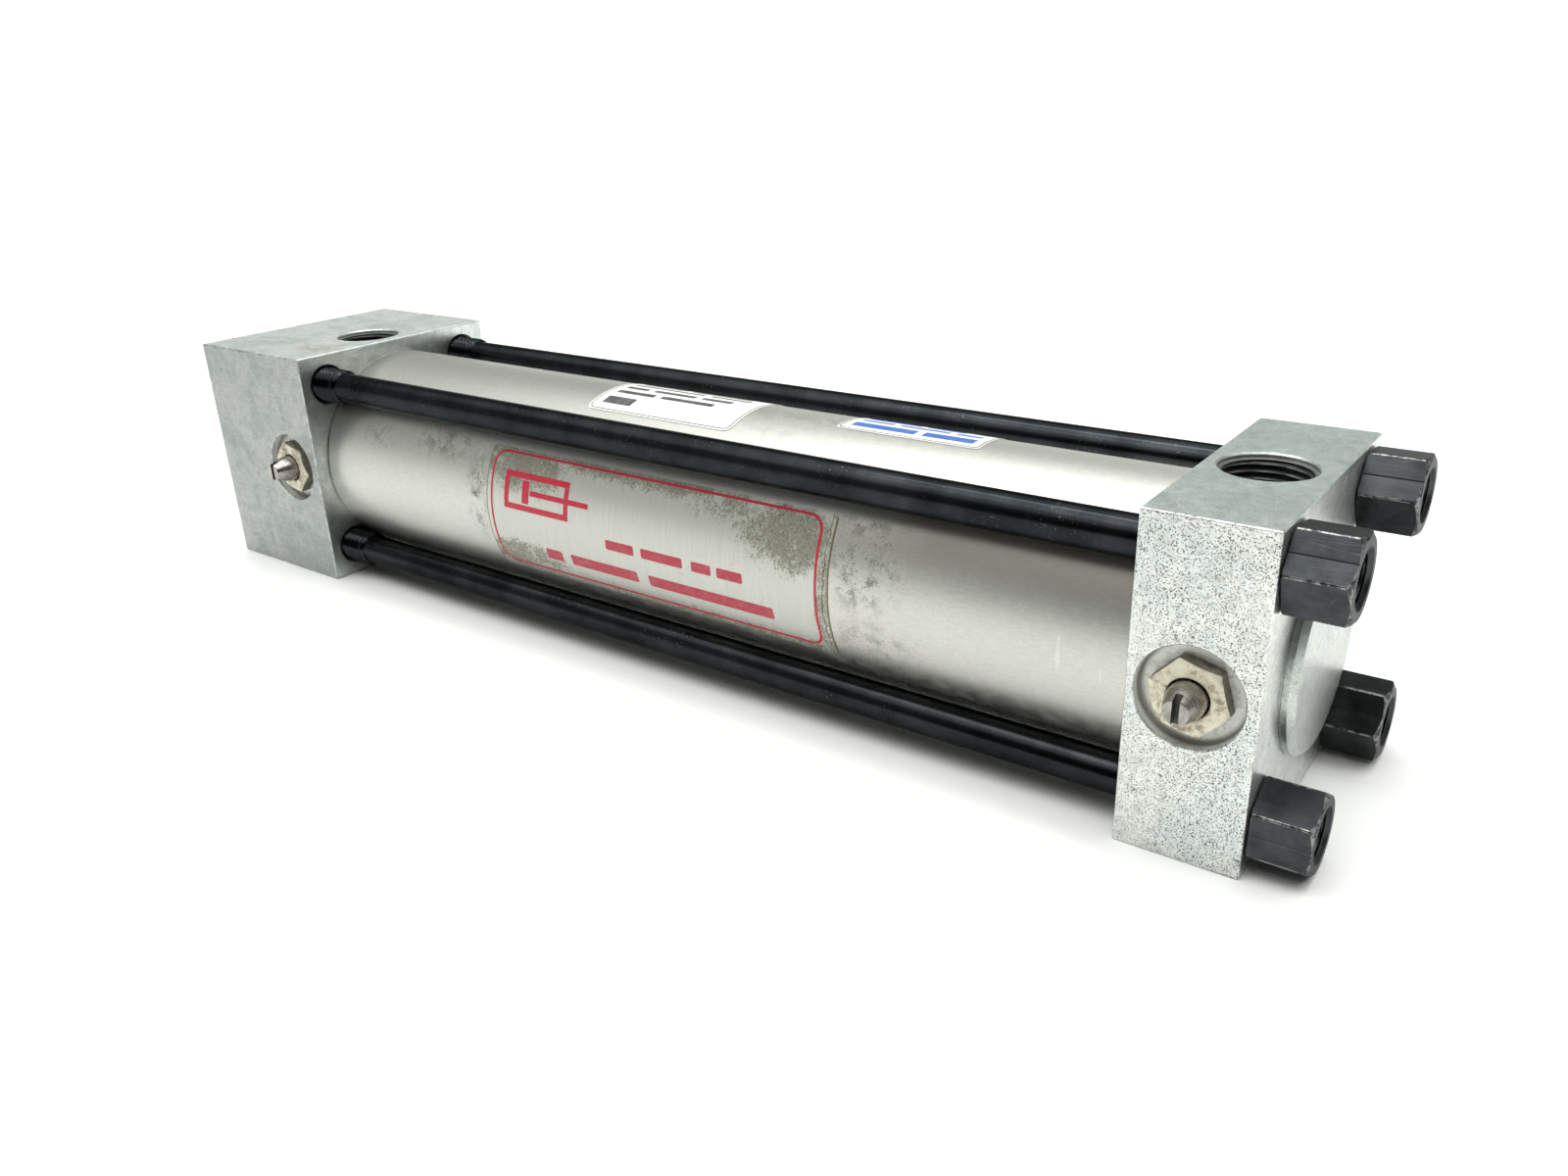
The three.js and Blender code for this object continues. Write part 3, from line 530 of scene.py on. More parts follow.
def tube_metal():
    """Satin aluminium with a fine grain along the tube, smudges where hands have been, and painted reflection
    and shade beside the near tie rods.
    """
    p = Paint("satin_aluminium", metallic=1.0, roughness=0.34, Anisotropic=0.55)
    angle = around_tube(p)
    brush = p.noise(1.0, 4.0, 0.62, at=p.point(p.mul(p.x, 0.45), p.mul(angle, 1.1)))
    fine = p.noise(1.0, 3.0, 0.6, at=p.point(p.mul(p.x, 1.6), p.mul(angle, 2.6)))
    cloud = p.noise(0.05, 4.0, 0.6, warp=0.6)
    dust = p.step(p.noise(2.6, 3.5, 0.65), 0.55, 0.64)
    ragged = p.noise(0.3, 5.0, 0.7)
    left = p.high(
        patch(p, angle, (-195, 30), (19, 13)),
        patch(p, angle, (-222, 27), (11, 10), 0.75),
        patch(p, angle, (-182, 10), (6, 34)),
    )
    right = p.high(patch(p, angle, (-68, 18), (13, 30)), patch(p, angle, (-66, -20), (16, 20), 0.5))
    top = patch(p, angle, (-100, 84), (30, 26), 0.5)
    # Painted shade: a long band beside the near lower tie rod, mixed into the dirt below.
    low = patch(p, angle, (-60, -42), (190, 22), 0.6)
    dirt = p.mul(p.high(left, right, top, low), p.step(ragged, 0.46, 0.6))
    speckle = p.mul(dust, p.add(0.06, p.mul(p.high(left, right), p.step(ragged, 0.36, 0.52))))
    dots = p.mul(p.step(p.cells(0.09), 0.07, 0.03), p.step(p.noise(0.21), 0.54, 0.6))
    scratches = p.hairlines(p.point(p.mul(p.x, 0.35), p.mul(angle, 0.012)), 0.005)
    # Painted dark reflection of the upper tie rod, with a brown stain, from the side label to the cap head.
    rod_reflection_and_stain = p.mul(p.step(angle, 17, 33), p.step(angle, 62, 46))
    rod_reflection_and_stain = p.mul(rod_reflection_and_stain, p.step(p.add(p.x, p.mul(cloud, 20)), -72, -40))
    color = p.coats(
        p.tint(p.step(brush, 0.25, 0.75), (0.49, 0.487, 0.452), (0.585, 0.582, 0.545)),
        (p.mul(p.step(fine, 0.4, 0.7), 0.22), (0.72, 0.72, 0.69)),
        (p.mul(cloud, 0.25), (0.45, 0.45, 0.425)),
        (p.mul(scratches, 0.22), (0.85, 0.85, 0.83)),
        (p.mul(rod_reflection_and_stain, 0.7), (0.24, 0.21, 0.18)),
        # The dirt coat holds both the hand smudges and the painted shade beside the near lower tie rod.
        (p.mul(dirt, 0.6), (0.18, 0.18, 0.15)),
        (p.mul(speckle, 0.9), (0.06, 0.06, 0.05)),
        (dots, (0.06, 0.06, 0.06)),
    )
    roughness = p.add(p.blend(brush, 0.31, 0.37), p.mul(p.high(dirt, speckle), 0.25))
    normal = p.bump(brush, 0.008)
    normal = p.bump(fine, 0.004, 0.9, normal)
    normal = p.bump(p.add(dots, speckle), 0.03, 0.6, normal)
    tangent = p.nodes.new("ShaderNodeTangent")
    tangent.direction_type = "RADIAL"
    tangent.axis = "X"
    p.link(tangent.outputs[0], p.shader.inputs["Tangent"])
    return p.finish(color, roughness, normal)


def rod_oxide():
    """Oiled black oxide on drawn tie rods: glossy, with faint rings, dust and rubbed spots."""
    p = Paint("tie_rod_black_oxide", metallic=1.0, roughness=0.2, Specular_Tint=(0.5, 0.5, 0.5, 1.0))
    cloud = p.noise(0.08, 4.0, 0.6)
    rings = p.noise(1.0, 3.0, 0.6, at=p.stretched(1.6, 0.1, 0.1))
    drawn = p.noise(1.0, 3.0, 0.6, at=p.stretched(0.03, 3.0, 3.0))
    dust = p.mul(p.step(p.noise(2.2, 3.0, 0.6), 0.64, 0.7), p.step(p.noise(0.1, 2.0), 0.48, 0.62))
    rubbed = p.mul(p.step(p.noise(0.5, 4.0, 0.7), 0.66, 0.74), p.step(p.noise(0.05), 0.5, 0.6))
    color = p.coats(
        p.tint(p.step(cloud, 0.3, 0.7), (0.014, 0.016, 0.018), (0.033, 0.036, 0.039)),
        (p.mul(rings, 0.35), (0.010, 0.011, 0.012)),
        (p.mul(rubbed, 0.5), (0.22, 0.22, 0.21)),
        (p.mul(dust, 0.5), (0.30, 0.29, 0.27)),
    )
    roughness = p.add(p.blend(cloud, 0.14, 0.24), p.mul(p.high(dust, rubbed), 0.3))
    normal = p.bump(rings, 0.006)
    normal = p.bump(drawn, 0.004, 1.0, normal)
    return p.finish(color, roughness, normal)


def nut_oxide(name, rubbed_range, rubbed_color, rubbed_amount):
    """Black oxide on machined hexagon bar, rubbed through to the steel in places."""
    p = Paint(name, metallic=1.0, roughness=0.38, Specular_Tint=(0.5, 0.5, 0.5, 1.0))
    cloud = p.noise(0.16, 4.0, 0.6)
    drawn = p.noise(1.0, 4.0, 0.6, at=p.stretched(0.05, 2.2, 2.2))
    fine = p.noise(3.6, 3.0, 0.6)
    rubbed = p.step(p.noise(0.8, 4.0, 0.7), *rubbed_range)
    line = p.hairlines(p.stretched(0.02, 0.5, 0.5), 0.003)
    color = p.coats(
        p.tint(p.step(cloud, 0.3, 0.7), (0.033, 0.036, 0.039), (0.060, 0.065, 0.069)),
        (p.mul(p.step(drawn, 0.4, 0.7), 0.4), (0.06, 0.062, 0.065)),
        (p.mul(line, 0.3), (0.2, 0.2, 0.2)),
        (p.mul(rubbed, rubbed_amount), rubbed_color),
    )
    roughness = p.blend(rubbed, p.blend(fine, 0.24, 0.36), 0.3)
    normal = p.bump(p.add(drawn, p.mul(fine, 0.6)), 0.016)
    return p.finish(color, roughness, normal)


GREASE = (0.12, 0.1, 0.07)
EVEN_GRAIN = (0.6, 0.6, 0.6)
ROUND_AXIS = (6.0, 0.4, 0.4)


def turned_metal(
    name, light, dark, roughness, stretch, metallic=1.0, grime=0.0, ring_mm=0.012, grime_color=GREASE
):
    """Turned or ground metal: fine rings along the turning axis, clouding, and some grime."""
    p = Paint(name, metallic=metallic, roughness=roughness)
    rings = p.noise(1.0, 4.0, 0.65, at=p.stretched(*stretch))
    cloud = p.noise(0.3, 4.0, 0.6)
    fine = p.noise(5.0, 2.0, 0.5)
    dirt = p.mul(p.step(p.noise(0.55, 5.0, 0.7), 0.45, 0.68), grime)
    color = p.tint(p.step(rings, 0.25, 0.75), dark, light)
    color = p.coats(color, (p.mul(cloud, 0.3), dark), (dirt, grime_color))
    rough = p.add(p.blend(rings, roughness * 0.7, roughness * 1.3), p.mul(dirt, 0.35))
    normal = p.bump(p.add(rings, p.mul(fine, 0.3)), ring_mm)
    return p.finish(color, rough, normal)


def soft_plastic(name, light, dark, roughness, scale=1.2):
    """Rubber or filled plastic: mottled, faintly moulded, dusty in places."""
    p = Paint(name, roughness=roughness)
    mottle = p.noise(scale, 4.0, 0.6)
    fine = p.noise(scale * 6, 3.0, 0.6)
    dust = p.mul(p.step(p.noise(scale * 0.5, 4.0, 0.7), 0.5, 0.75), 0.35)
    color = p.tint(mottle, dark, light)
    color = p.tint(dust, color, tuple(min(1.0, c * 2 + 0.05) for c in light))
    normal = p.bump(p.add(p.mul(mottle, 0.5), fine), 0.015)
    return p.finish(color, p.blend(mottle, roughness * 0.85, min(1.0, roughness * 1.15)), normal)


def label_clear():
    """Clear film over the aluminium: yellowed, scuffed clean in the middle, grimy round it."""
    p = Paint("label_clear_film", metallic=0.55, roughness=0.36, Coat_Weight=0.3, Coat_Roughness=0.25)
    angle = around_tube(p)
    brush = p.noise(1.0, 3.0, 0.6, at=p.point(p.mul(p.x, 2.4), p.mul(angle, 0.05)))
    ragged = p.noise(0.22, 5.0, 0.68, warp=0.8)
    fine = p.noise(1.7, 4.0, 0.7)
    flecks = p.step(p.noise(2.6, 3.0, 0.6), 0.57, 0.66)
    smear = p.noise(1.0, 4.0, 0.65, at=p.point(p.mul(p.x, 0.28), p.mul(angle, 0.05)))
    zones = p.high(
        patch(p, angle, (-166, 27), (24, 20)),
        patch(p, angle, (-86, 21), (19, 23)),
        patch(p, angle, (-102, 27), (20, 12), 0.6),
        patch(p, angle, (-130, 36), (60, 13), 0.9),
        patch(p, angle, (-170, -22), (22, 14), 0.9),
        patch(p, angle, (-110, -32), (70, 11), 0.7),
        patch(p, angle, (-77, 0), (4, 60), 0.7),
    )
    spread = p.add(p.mul(zones, 0.85), p.mul(p.sub(ragged, 0.5), 1.7))
    spread = p.add(spread, p.mul(p.sub(fine, 0.5), 1.5))
    film = p.step(spread, 0.25, 0.75)
    soiled = p.mul(film, p.step(p.add(fine, p.mul(smear, 0.5)), 0.5, 0.95))
    end = p.low(p.sub(p.x, LABEL_SIDE[0]), p.sub(LABEL_SIDE[1], p.x))
    wander = p.mul(p.sub(p.noise(0.3, 3.0), 0.5), 2.4)
    crack = p.step(p.math("ABSOLUTE", p.add(p.sub(p.x, LABEL_SIDE[1] - 1.3), wander)), 0.16, 0.05)
    color = p.coats(
        p.tint(p.step(brush, 0.3, 0.7), (0.475, 0.48, 0.44), (0.54, 0.545, 0.505)),
        (p.mul(smear, 0.22), (0.62, 0.61, 0.54)),
        (p.mul(film, 0.65), (0.27, 0.27, 0.20)),
        (p.mul(soiled, 0.6), (0.13, 0.125, 0.085)),
        (p.mul(flecks, film, 0.8), (0.045, 0.045, 0.03)),
        (p.step(end, 0.5, 0.15), (0.22, 0.19, 0.11)),
        (p.mul(crack, 0.85), (0.05, 0.045, 0.03)),
    )
    roughness = p.add(p.blend(brush, 0.3, 0.4), p.mul(film, 0.25))
    normal = p.bump(p.add(brush, p.mul(film, 1.5)), 0.012)
    return p.finish(color, roughness, normal)


def ink(name, color_full, color_faded, fade=0.5):
    """Printed ink, thinned and dirtied in patches."""
    p = Paint(name, roughness=0.42)
    patchy = p.step(p.noise(0.4, 5.0, 0.7), 0.42, 0.72)
    fine = p.noise(3.0, 3.0, 0.6)
    color = p.tint(p.mul(patchy, fade), color_full, color_faded)
    color = p.tint(p.mul(p.step(fine, 0.62, 0.7), 0.4), color, tuple(c * 0.3 for c in color_full))
    return p.finish(color, p.blend(fine, 0.35, 0.5), p.bump(fine, 0.006))


def label_white(name, x0, x1):
    """White film: bright, slightly yellowed and dusty towards its ends."""
    p = Paint(name, roughness=0.38, Coat_Weight=0.25, Coat_Roughness=0.2)
    cloud = p.noise(0.12, 4.0, 0.6)
    smudge = p.mul(p.step(p.noise(0.45, 5.0, 0.7), 0.55, 0.75), 0.35)
    fine = p.noise(3.0, 3.0, 0.6)
    end = p.low(p.sub(p.x, x0), p.sub(x1, p.x))
    color = p.coats(
        p.tint(cloud, (0.80, 0.80, 0.76), (0.88, 0.88, 0.86)),
        (smudge, (0.45, 0.44, 0.38)),
        (p.mul(p.step(end, 3.0, 0.0), 0.3), (0.5, 0.48, 0.38)),
    )
    return p.finish(color, p.blend(fine, 0.32, 0.46), p.bump(fine, 0.006))


# ---- heads ----

# Each head's tones for its near face and its top are painted shade.
ZINC = {
    "rod_head": zinc(
        "zinc_plate_rod_head", ROD_OUT, ROD_IN, PORTS["rod_end"],
        pitting=0.25, near_face_shade=0.57, top_face_shade=(0.88, 0.89, 0.885), rubbed=0.3, stained=0.6,
    ),
    "cap_head": zinc(
        "zinc_plate_cap_head", CAP_IN, CAP_OUT, PORTS["cap_end"],
        pitting=0.85, near_face_shade=1.0, top_face_shade=(0.68, 0.73, 0.725), rubbed=0.6, stained=0.0,
    ),
}


def port_cutter(x, floor):
    """Tapped port from the top face down: passage, pipe thread and a broken mouth."""
    passage, root, crest, pitch = 6.2, 7.75, 8.6, 1.411
    thread_end = HALF - 13
    rows = [(floor, passage), (thread_end - 1.2, passage), (thread_end, root - 0.15)]
    rows += thread_rows(thread_end + 0.01, HALF - 1.1, root, crest, pitch, bore=True, fade=0.8)
    rows += [(HALF - 0.9, 8.5), (HALF - 0.35, 8.55), (HALF, PORT_MOUTH_R), (HALF + 1, PORT_MOUTH_R)]
    return moved(bar("port_cutter", rows), x, turn=(0, -90, 0))


def needle_cutter(x):
    """Flat-floored counterbore, then the bushing's hole and the needle's seat."""
    mouth, seat = COUNTERBORE_R + 0.25, 1.7
    floor, shoulder = -HALF + COUNTERBORE_DEPTH, -HALF + STEM_DEPTH + GAP
    rows = [(-HALF - 1, mouth), (-HALF, mouth), (-HALF + 0.22, COUNTERBORE_R + 0.03)]
    rows += [(floor - 0.4, COUNTERBORE_R), (floor, COUNTERBORE_R - 0.4), (floor, STEM_HOLE_R)]
    rows += [(shoulder, STEM_HOLE_R), (shoulder, seat), (-8.8, seat)]
    return moved(bar("needle_cutter", rows), x, turn=(0, 0, 90))


def tie_cutter(name, x0, x1):
    """A tie rod's hole, chamfered where it leaves the rod head."""
    hole, place = 5.05, TIES[name]
    rows = [(x0, hole)]
    if x0 < ROD_IN < x1:
        rows += [(ROD_IN - 0.5, hole), (ROD_IN, hole + 0.5)]
    rows.append((x1, rows[-1][1]))
    return moved(bar("tie_cutter", rows, 48), 0, place.y, place.z - AXIS_Z)


def build_head(end, span, bevel, bosses, bore, port_floor, tie_span):
    """A head from its block, round bosses, stepped bore, port, needle hole and tie rod holes."""
    name = f"{end[:3]}_head"
    head = block(f"{name}_block", (span[0], -HALF, -HALF), (span[1], HALF, HALF), bevel)
    cutters = [bar("bore", bore, 128), port_cutter(PORTS[end], port_floor), needle_cutter(PORTS[end])]
    cutters += [tie_cutter(tie, *tie_span) for tie in TIES]
    carve(head, *(("UNION", boss) for boss in bosses), *(("DIFFERENCE", tool) for tool in cutters))
    done(head, "barrel", "zinc_heads", [name], ZINC[name], even=True)


def build_rod_head():
    """Open in front for the gland, with a snap ring groove; the cushion's bore is behind it."""
    spigot_end = ROD_IN + SPIGOT_LENGTH
    spigot = [(ROD_IN - 1, SPIGOT_R), (spigot_end - 0.3, SPIGOT_R), (spigot_end, SPIGOT_R - 0.3)]
    groove, groove_from, groove_to = 15.9, ROD_OUT + SNAP_GROOVE[0], ROD_OUT + SNAP_GROOVE[1]
    gland_end, cushion, cushion_from = ROD_OUT + 23.9, 11.6, ROD_IN - 20.6
    mouth, mouth_from = 14.6, ROD_IN + 0.9
    bore = [(ROD_OUT - 1, GLAND_R + 0.5), (ROD_OUT, GLAND_R + 0.5), (ROD_OUT + 0.5, GLAND_R)]
    bore += [(groove_from, GLAND_R), (groove_from, groove), (groove_to, groove), (groove_to, GLAND_R)]
    bore += [(gland_end, GLAND_R), (gland_end, ROD_HOLE_R), (cushion_from, ROD_HOLE_R)]
    bore += [(cushion_from, cushion), (mouth_from, cushion), (mouth_from, mouth), (ROD_IN + 5.5, mouth)]
    bosses = [bar("spigot", spigot, 128)]
    build_head("rod_end", (ROD_OUT, ROD_IN), 0.45, bosses, bore, 9.6, (ROD_IN - 15, ROD_IN + 1))


def build_cap_head():
    """Closed, with a round pilot outside: a waist at its foot and a chamfer on its rim."""
    face, top = 20.3, CAP_OUT + PILOT_HEIGHT
    pilot = [(CAP_OUT - 1, face - 0.3), (CAP_OUT + 0.05, face - 0.3), (CAP_OUT + 0.35, face)]
    pilot += [(top - 1.25, face), (top - 1.1, face - 0.06), (top - 0.12, face - 1.1), (top, face - 1.25)]
    spigot_end = CAP_IN - SPIGOT_LENGTH
    spigot = [(spigot_end, SPIGOT_R - 0.3), (spigot_end + 0.3, SPIGOT_R), (CAP_IN + 1, SPIGOT_R)]
    mouth, cushion, mouth_to = 12.6, 9.8, CAP_IN - 0.9
    bore = [(CAP_IN - 5.5, mouth), (mouth_to, mouth), (mouth_to, cushion), (CAP_OUT - 7.6, cushion)]
    bosses = [bar("pilot", pilot, 160), bar("spigot", spigot, 128)]
    build_head("cap_end", (CAP_IN, CAP_OUT), 0.4, bosses, bore, 7.8, (CAP_IN - 1, CAP_OUT + 1))


build_rod_head()
build_cap_head()

# ---- tube, tie rods and nuts ----


def build_tube():
    (x0, _, _), (x1, _, _) = box_mm("cylinder_tube")
    rows = [(x0, TUBE_BORE_R), (x1, TUBE_BORE_R), (x1, TUBE_R - 0.3), (x1 - 0.3, TUBE_R)]
    rows += [(x0 + 0.3, TUBE_R), (x0, TUBE_R - 0.3)]
    done(turned("tube_barrel", rows, 224, ring=True), "barrel", "tube", ["cylinder_tube"], tube_metal())


def build_tie_rod(name):
    """Tie rod, thicker and threaded where it screws into the rod head."""
    place = TIES[name]
    shank, end = 3.95, 4.3
    rows = [(ROD_IN - 14, 4.1), (ROD_IN - 2.01, 4.1)]
    rows += thread_rows(ROD_IN - 2, ROD_IN + 7.6, 4.12, 4.72, TIE_PITCH, 80)
    rows += [(ROD_IN + 7.9, 4.66), (ROD_IN + 8.5, shank + 0.03), (ROD_IN + 9.2, shank), (CAP_IN + 5, shank)]
    rows += [(CAP_IN + 5.4, end), (CAP_OUT + 4.3, end), (CAP_OUT + 4.9, end - 0.6)]
    rod = moved(bar(f"tie_rod_{name}_turned", rows, 80), 0, place.y, place.z - AXIS_Z)
    done(rod, "barrel", "black_oxide", [f"tie_rod_{name}"], ROD_OXIDE, smooth=40)


def build_nut(name):
    """Long hexagon nut with chamfered ends and an open threaded bore."""
    place = TIES[name]
    low, high = box_mm(f"tie_nut_{name}")
    inner, outer = low.x, high.x
    corner, face = NUT_FLATS / math.sqrt(3), NUT_FLATS / 2 - 0.3
    nut = hex_bar(f"tie_nut_{name}_hex", inner, outer, NUT_FLATS, NUT_TURNS[name], drawn=True)
    rows = [(inner - 0.5, corner - 0.35), (inner, corner - 0.35), (inner + 0.45, corner + 0.1)]
    rows += [(outer - 0.95, corner + 0.1), (outer - 0.06, face + 0.1), (outer, face), (outer + 0.5, face)]
    envelope = bar("envelope", rows, 120)
    rows = [(inner - 1, 4.75)]
    rows += thread_rows(inner + 0.01, outer - 0.75, 4.45, 5.0, TIE_PITCH, 80, bore=True, fade=0.6)
    rows += [(outer - 0.6, 4.7), (outer, 5.3), (outer + 1, 5.3)]
    carve(nut, ("INTERSECT", envelope), ("DIFFERENCE", bar("nut_bore", rows, 80)))
    for polygon in nut.data.polygons:
        away = math.hypot(polygon.center.y, polygon.center.z)
        on_chamfer = polygon.center.x > outer - 0.9 and away > face - 0.05
        polygon.material_index = 1 if away > corner - 0.3 or on_chamfer else 0
    moved(nut, 0, place.y, place.z - AXIS_Z)
    done(nut, "barrel", "nut_oxide", [f"tie_nut_{name}"], NUT_OXIDE, NUT_EDGE, even=True)


ROD_OXIDE = rod_oxide()
NUT_OXIDE = nut_oxide("nut_black_oxide", (0.63, 0.74), (0.24, 0.24, 0.235), 0.2)
NUT_EDGE = nut_oxide("nut_rubbed_edge", (0.42, 0.6), (0.30, 0.30, 0.29), 0.85)
build_tube()
for tie in TIES:
    build_tie_rod(tie)
    build_nut(tie)

# ---- cushion needles ----

ROUND_NEEDLE = (0.25, 5.0, 0.25)
NEEDLE_STEEL = turned_metal(
    "needle_stainless", (0.50, 0.47, 0.44), (0.26, 0.24, 0.22), 0.24, ROUND_NEEDLE, grime=0.4, ring_mm=0.02
)
# Painted shade: the needle's slot is painted dark.
NEEDLE_SLOT_SHADE = turned_metal(
    "needle_slot_painted_shade", (0.11, 0.10, 0.09), (0.05, 0.045, 0.04), 0.5, EVEN_GRAIN, metallic=0.5
)
BUSHING_PLATE = turned_metal(
    "needle_bushing_yellow_plate", (0.84, 0.81, 0.66), (0.60, 0.565, 0.43), 0.42, EVEN_GRAIN,
    metallic=0.25, grime=0.85, grime_color=(0.27, 0.21, 0.14),
)
# Painted shade, with grime: the hexagon's sides are a darker copy of its plate.
BUSHING_SIDES_GRIME_AND_SHADE = turned_metal(
    "needle_bushing_sides_grime_and_shade", (0.30, 0.285, 0.22), (0.12, 0.11, 0.08), 0.5, EVEN_GRAIN,
    metallic=0.3, grime=0.8,
)


def build_needle(end):
    """Needle screw, from its slotted tip outside the head to its point in the seat."""
    full, neck, point = 3.5, 2.6, 1.3
    rows = [(-6.0, 2.1), (-5.9, 2.3), (-3.4, 3.1), (-2.2, 3.4), (-1.5, full), (8, full), (8, neck)]
    rows += [(10.6, neck), (10.6, full), (11.75, full), (14.25, point), (18.75, point)]
    needle = bar(f"cushion_needle_{end}_turned", rows, 96)
    slot_floor, slot_half = -4.3, 0.65
    carve(needle, ("DIFFERENCE", block("slot", (-7.5, -slot_half, -5), (slot_floor, slot_half, 5), 0)))
    # The slot's faces take the dark painted shade.
    for polygon in needle.data.polygons:
        x, y, _ = polygon.center
        polygon.material_index = 1 if x < slot_floor + 0.1 and abs(y) < slot_half + 0.01 else 0
    moved(needle, PORTS[end], -HALF, 0, (0, 0, 90))
    replaced = [f"cushion_needle_{end}"]
    done(needle, f"{end[:3]}_needle", "stainless", replaced, NEEDLE_STEEL, NEEDLE_SLOT_SHADE, smooth=28)


def build_needle_bushing(end):
    """Hexagon that stands a little out of the counterbore, on a stem into the head."""
    corner, face = BUSHING_FLATS / math.sqrt(3), BUSHING_FLATS / 2 - 0.3
    stem_r, outer, inner = STEM_HOLE_R - GAP, -HEX_PROUD, COUNTERBORE_DEPTH - GAP
    bushing = hex_bar(f"needle_bushing_{end}_hex", outer, inner, BUSHING_FLATS, BUSHING_TURN, 0.2)
    rows = [(outer - 0.5, face), (outer, face), (outer + 0.08, face + 0.2)]
    envelope = bar("envelope", [*rows, (0.35, corner + 0.1), (3.5, corner + 0.1)], 120)
    stem = bar("stem", [(2.0, stem_r), (STEM_DEPTH - 0.3, stem_r), (STEM_DEPTH, stem_r - 0.3)], 96)
    rows = [(-1.5, 3.95), (outer, 3.95), (outer + 0.15, 3.8), (5.2, 3.8), (5.2, 4.2), (17, 4.2)]
    carve(bushing, ("INTERSECT", envelope), ("UNION", stem), ("DIFFERENCE", bar("bore", rows, 96)))
    # The hexagon's sides take the darker, shaded copy.
    for polygon in bushing.data.polygons:
        polygon.material_index = 1 if abs(polygon.normal.x) < 0.3 else 0
    moved(bushing, PORTS[end], -HALF, 0, (0, 0, 90))
    replaced = [f"needle_bushing_{end}"]
    done(bushing, "barrel", "yellow_plate", replaced, BUSHING_PLATE, BUSHING_SIDES_GRIME_AND_SHADE, even=True)


for end in PORTS:
    build_needle(end)
    build_needle_bushing(end)

# ---- rod gland and piston rod ----

BRONZE = turned_metal("turned_bronze", (0.66, 0.47, 0.23), (0.45, 0.30, 0.13), 0.33, ROUND_AXIS, grime=0.3)
PHOSPHATE = turned_metal(
    "phosphated_spring_steel", (0.085, 0.085, 0.09), (0.045, 0.045, 0.05), 0.5, EVEN_GRAIN
)
CHROME = turned_metal(
    "hard_chrome", (0.60, 0.61, 0.63), (0.50, 0.515, 0.53), 0.1, (5.0, 0.3, 0.3), ring_mm=0.002
)
ROD_THREAD = turned_metal(
    "rod_thread_steel", (0.36, 0.36, 0.355), (0.22, 0.22, 0.215), 0.3, (3.0, 0.5, 0.5), grime=0.35
)
RUBBER = soft_plastic("nitrile_rubber", (0.03, 0.03, 0.03), (0.012, 0.012, 0.012), 0.72)


def build_rod_bushing():
    """Bronze sleeve, its nose standing out of the head, with grooves for its seals."""
    inner, outer = box_mm("rod_bushing")[1].x, box_mm("rod_bushing")[0].x
    bore, wiper_seat, nose, body = 8.24, 11.0, 12.5, 14.4
    rod_groove, body_groove = 11.3, 12.6
    rows = [(inner, 8.6), (inner - 0.4, bore), (ROD_OUT + 12.5, bore), (ROD_OUT + 12.5, rod_groove)]
    rows += [(ROD_OUT + 8, rod_groove), (ROD_OUT + 8, bore), (outer + 4, bore), (outer + 4, wiper_seat)]
    rows += [(outer + 0.25, wiper_seat), (outer, wiper_seat + 0.25), (outer, nose - 0.4), (outer + 0.4, nose)]
    shoulder = ROD_OUT + SNAP_GROOVE[1]
    rows += [(shoulder, nose), (shoulder, body - 0.2), (shoulder + 0.2, body), (inner - 6, body)]
    rows += [(inner - 6, body_groove), (inner - 3, body_groove), (inner - 3, body)]
    rows += [(inner - 0.4, body), (inner, body - 0.4)]
    done(turned("rod_bushing_turned", rows, 144, ring=True), "barrel", "bronze", ["rod_bushing"], BRONZE)


def build_wiper():
    """Rubber ring in the bushing's nose, its lip against the rod."""
    outer, back = ROD_OUT - 5.3, ROD_OUT - 1.6
    lip = [(outer + 1.2, 8.3), (outer - 0.5, 8.24), (outer - 0.8, 8.3), (outer - 0.8, 8.7)]
    rows = [(back, 8.94), *lip, (outer - 0.6, 8.95), (outer - 0.1, 9.5)]
    rows += [(outer + 0.15, 10.5), (outer + 0.4, 10.7), (back, 10.7)]
    wiper = turned("rod_wiper_lip", rows, 144, ring=True)
    done(wiper, "barrel", "seal_rubber", ["rod_wiper"], RUBBER, smooth=50)


def build_retaining_ring():
    """Internal snap ring: open at the top, with two pierced lugs."""
    x0, x1 = ROD_OUT + SNAP_GROOVE[0] + GAP, ROD_OUT + SNAP_GROOVE[1] - GAP
    inner, outer = 13.1, 15.6
    rows = [(x0 + 0.1, inner), (x1, inner), (x1, outer - 0.1), (x1 - 0.1, outer), (x0 + 0.1, outer)]
    ring = turned("gland_snap_ring", [*rows, (x0, outer - 0.1), (x0, inner + 0.1)], 144, ring=True)
    tools = [("DIFFERENCE", block("gap", (x0 - 1, -2.2, 10), (x1 + 1, 2.2, 17), 0))]
    for side in (-1, 1):
        hole = bar("lug_hole", [(x0 - 1, 0.65), (x1 + 1, 0.65)], 32)
        tools.append(("DIFFERENCE", moved(hole, 0, side * 3.5, 13.9)))
    carve(ring, *tools)
    done(ring, "barrel", "spring_steel", ["gland_retaining_ring"], PHOSPHATE, even=True)


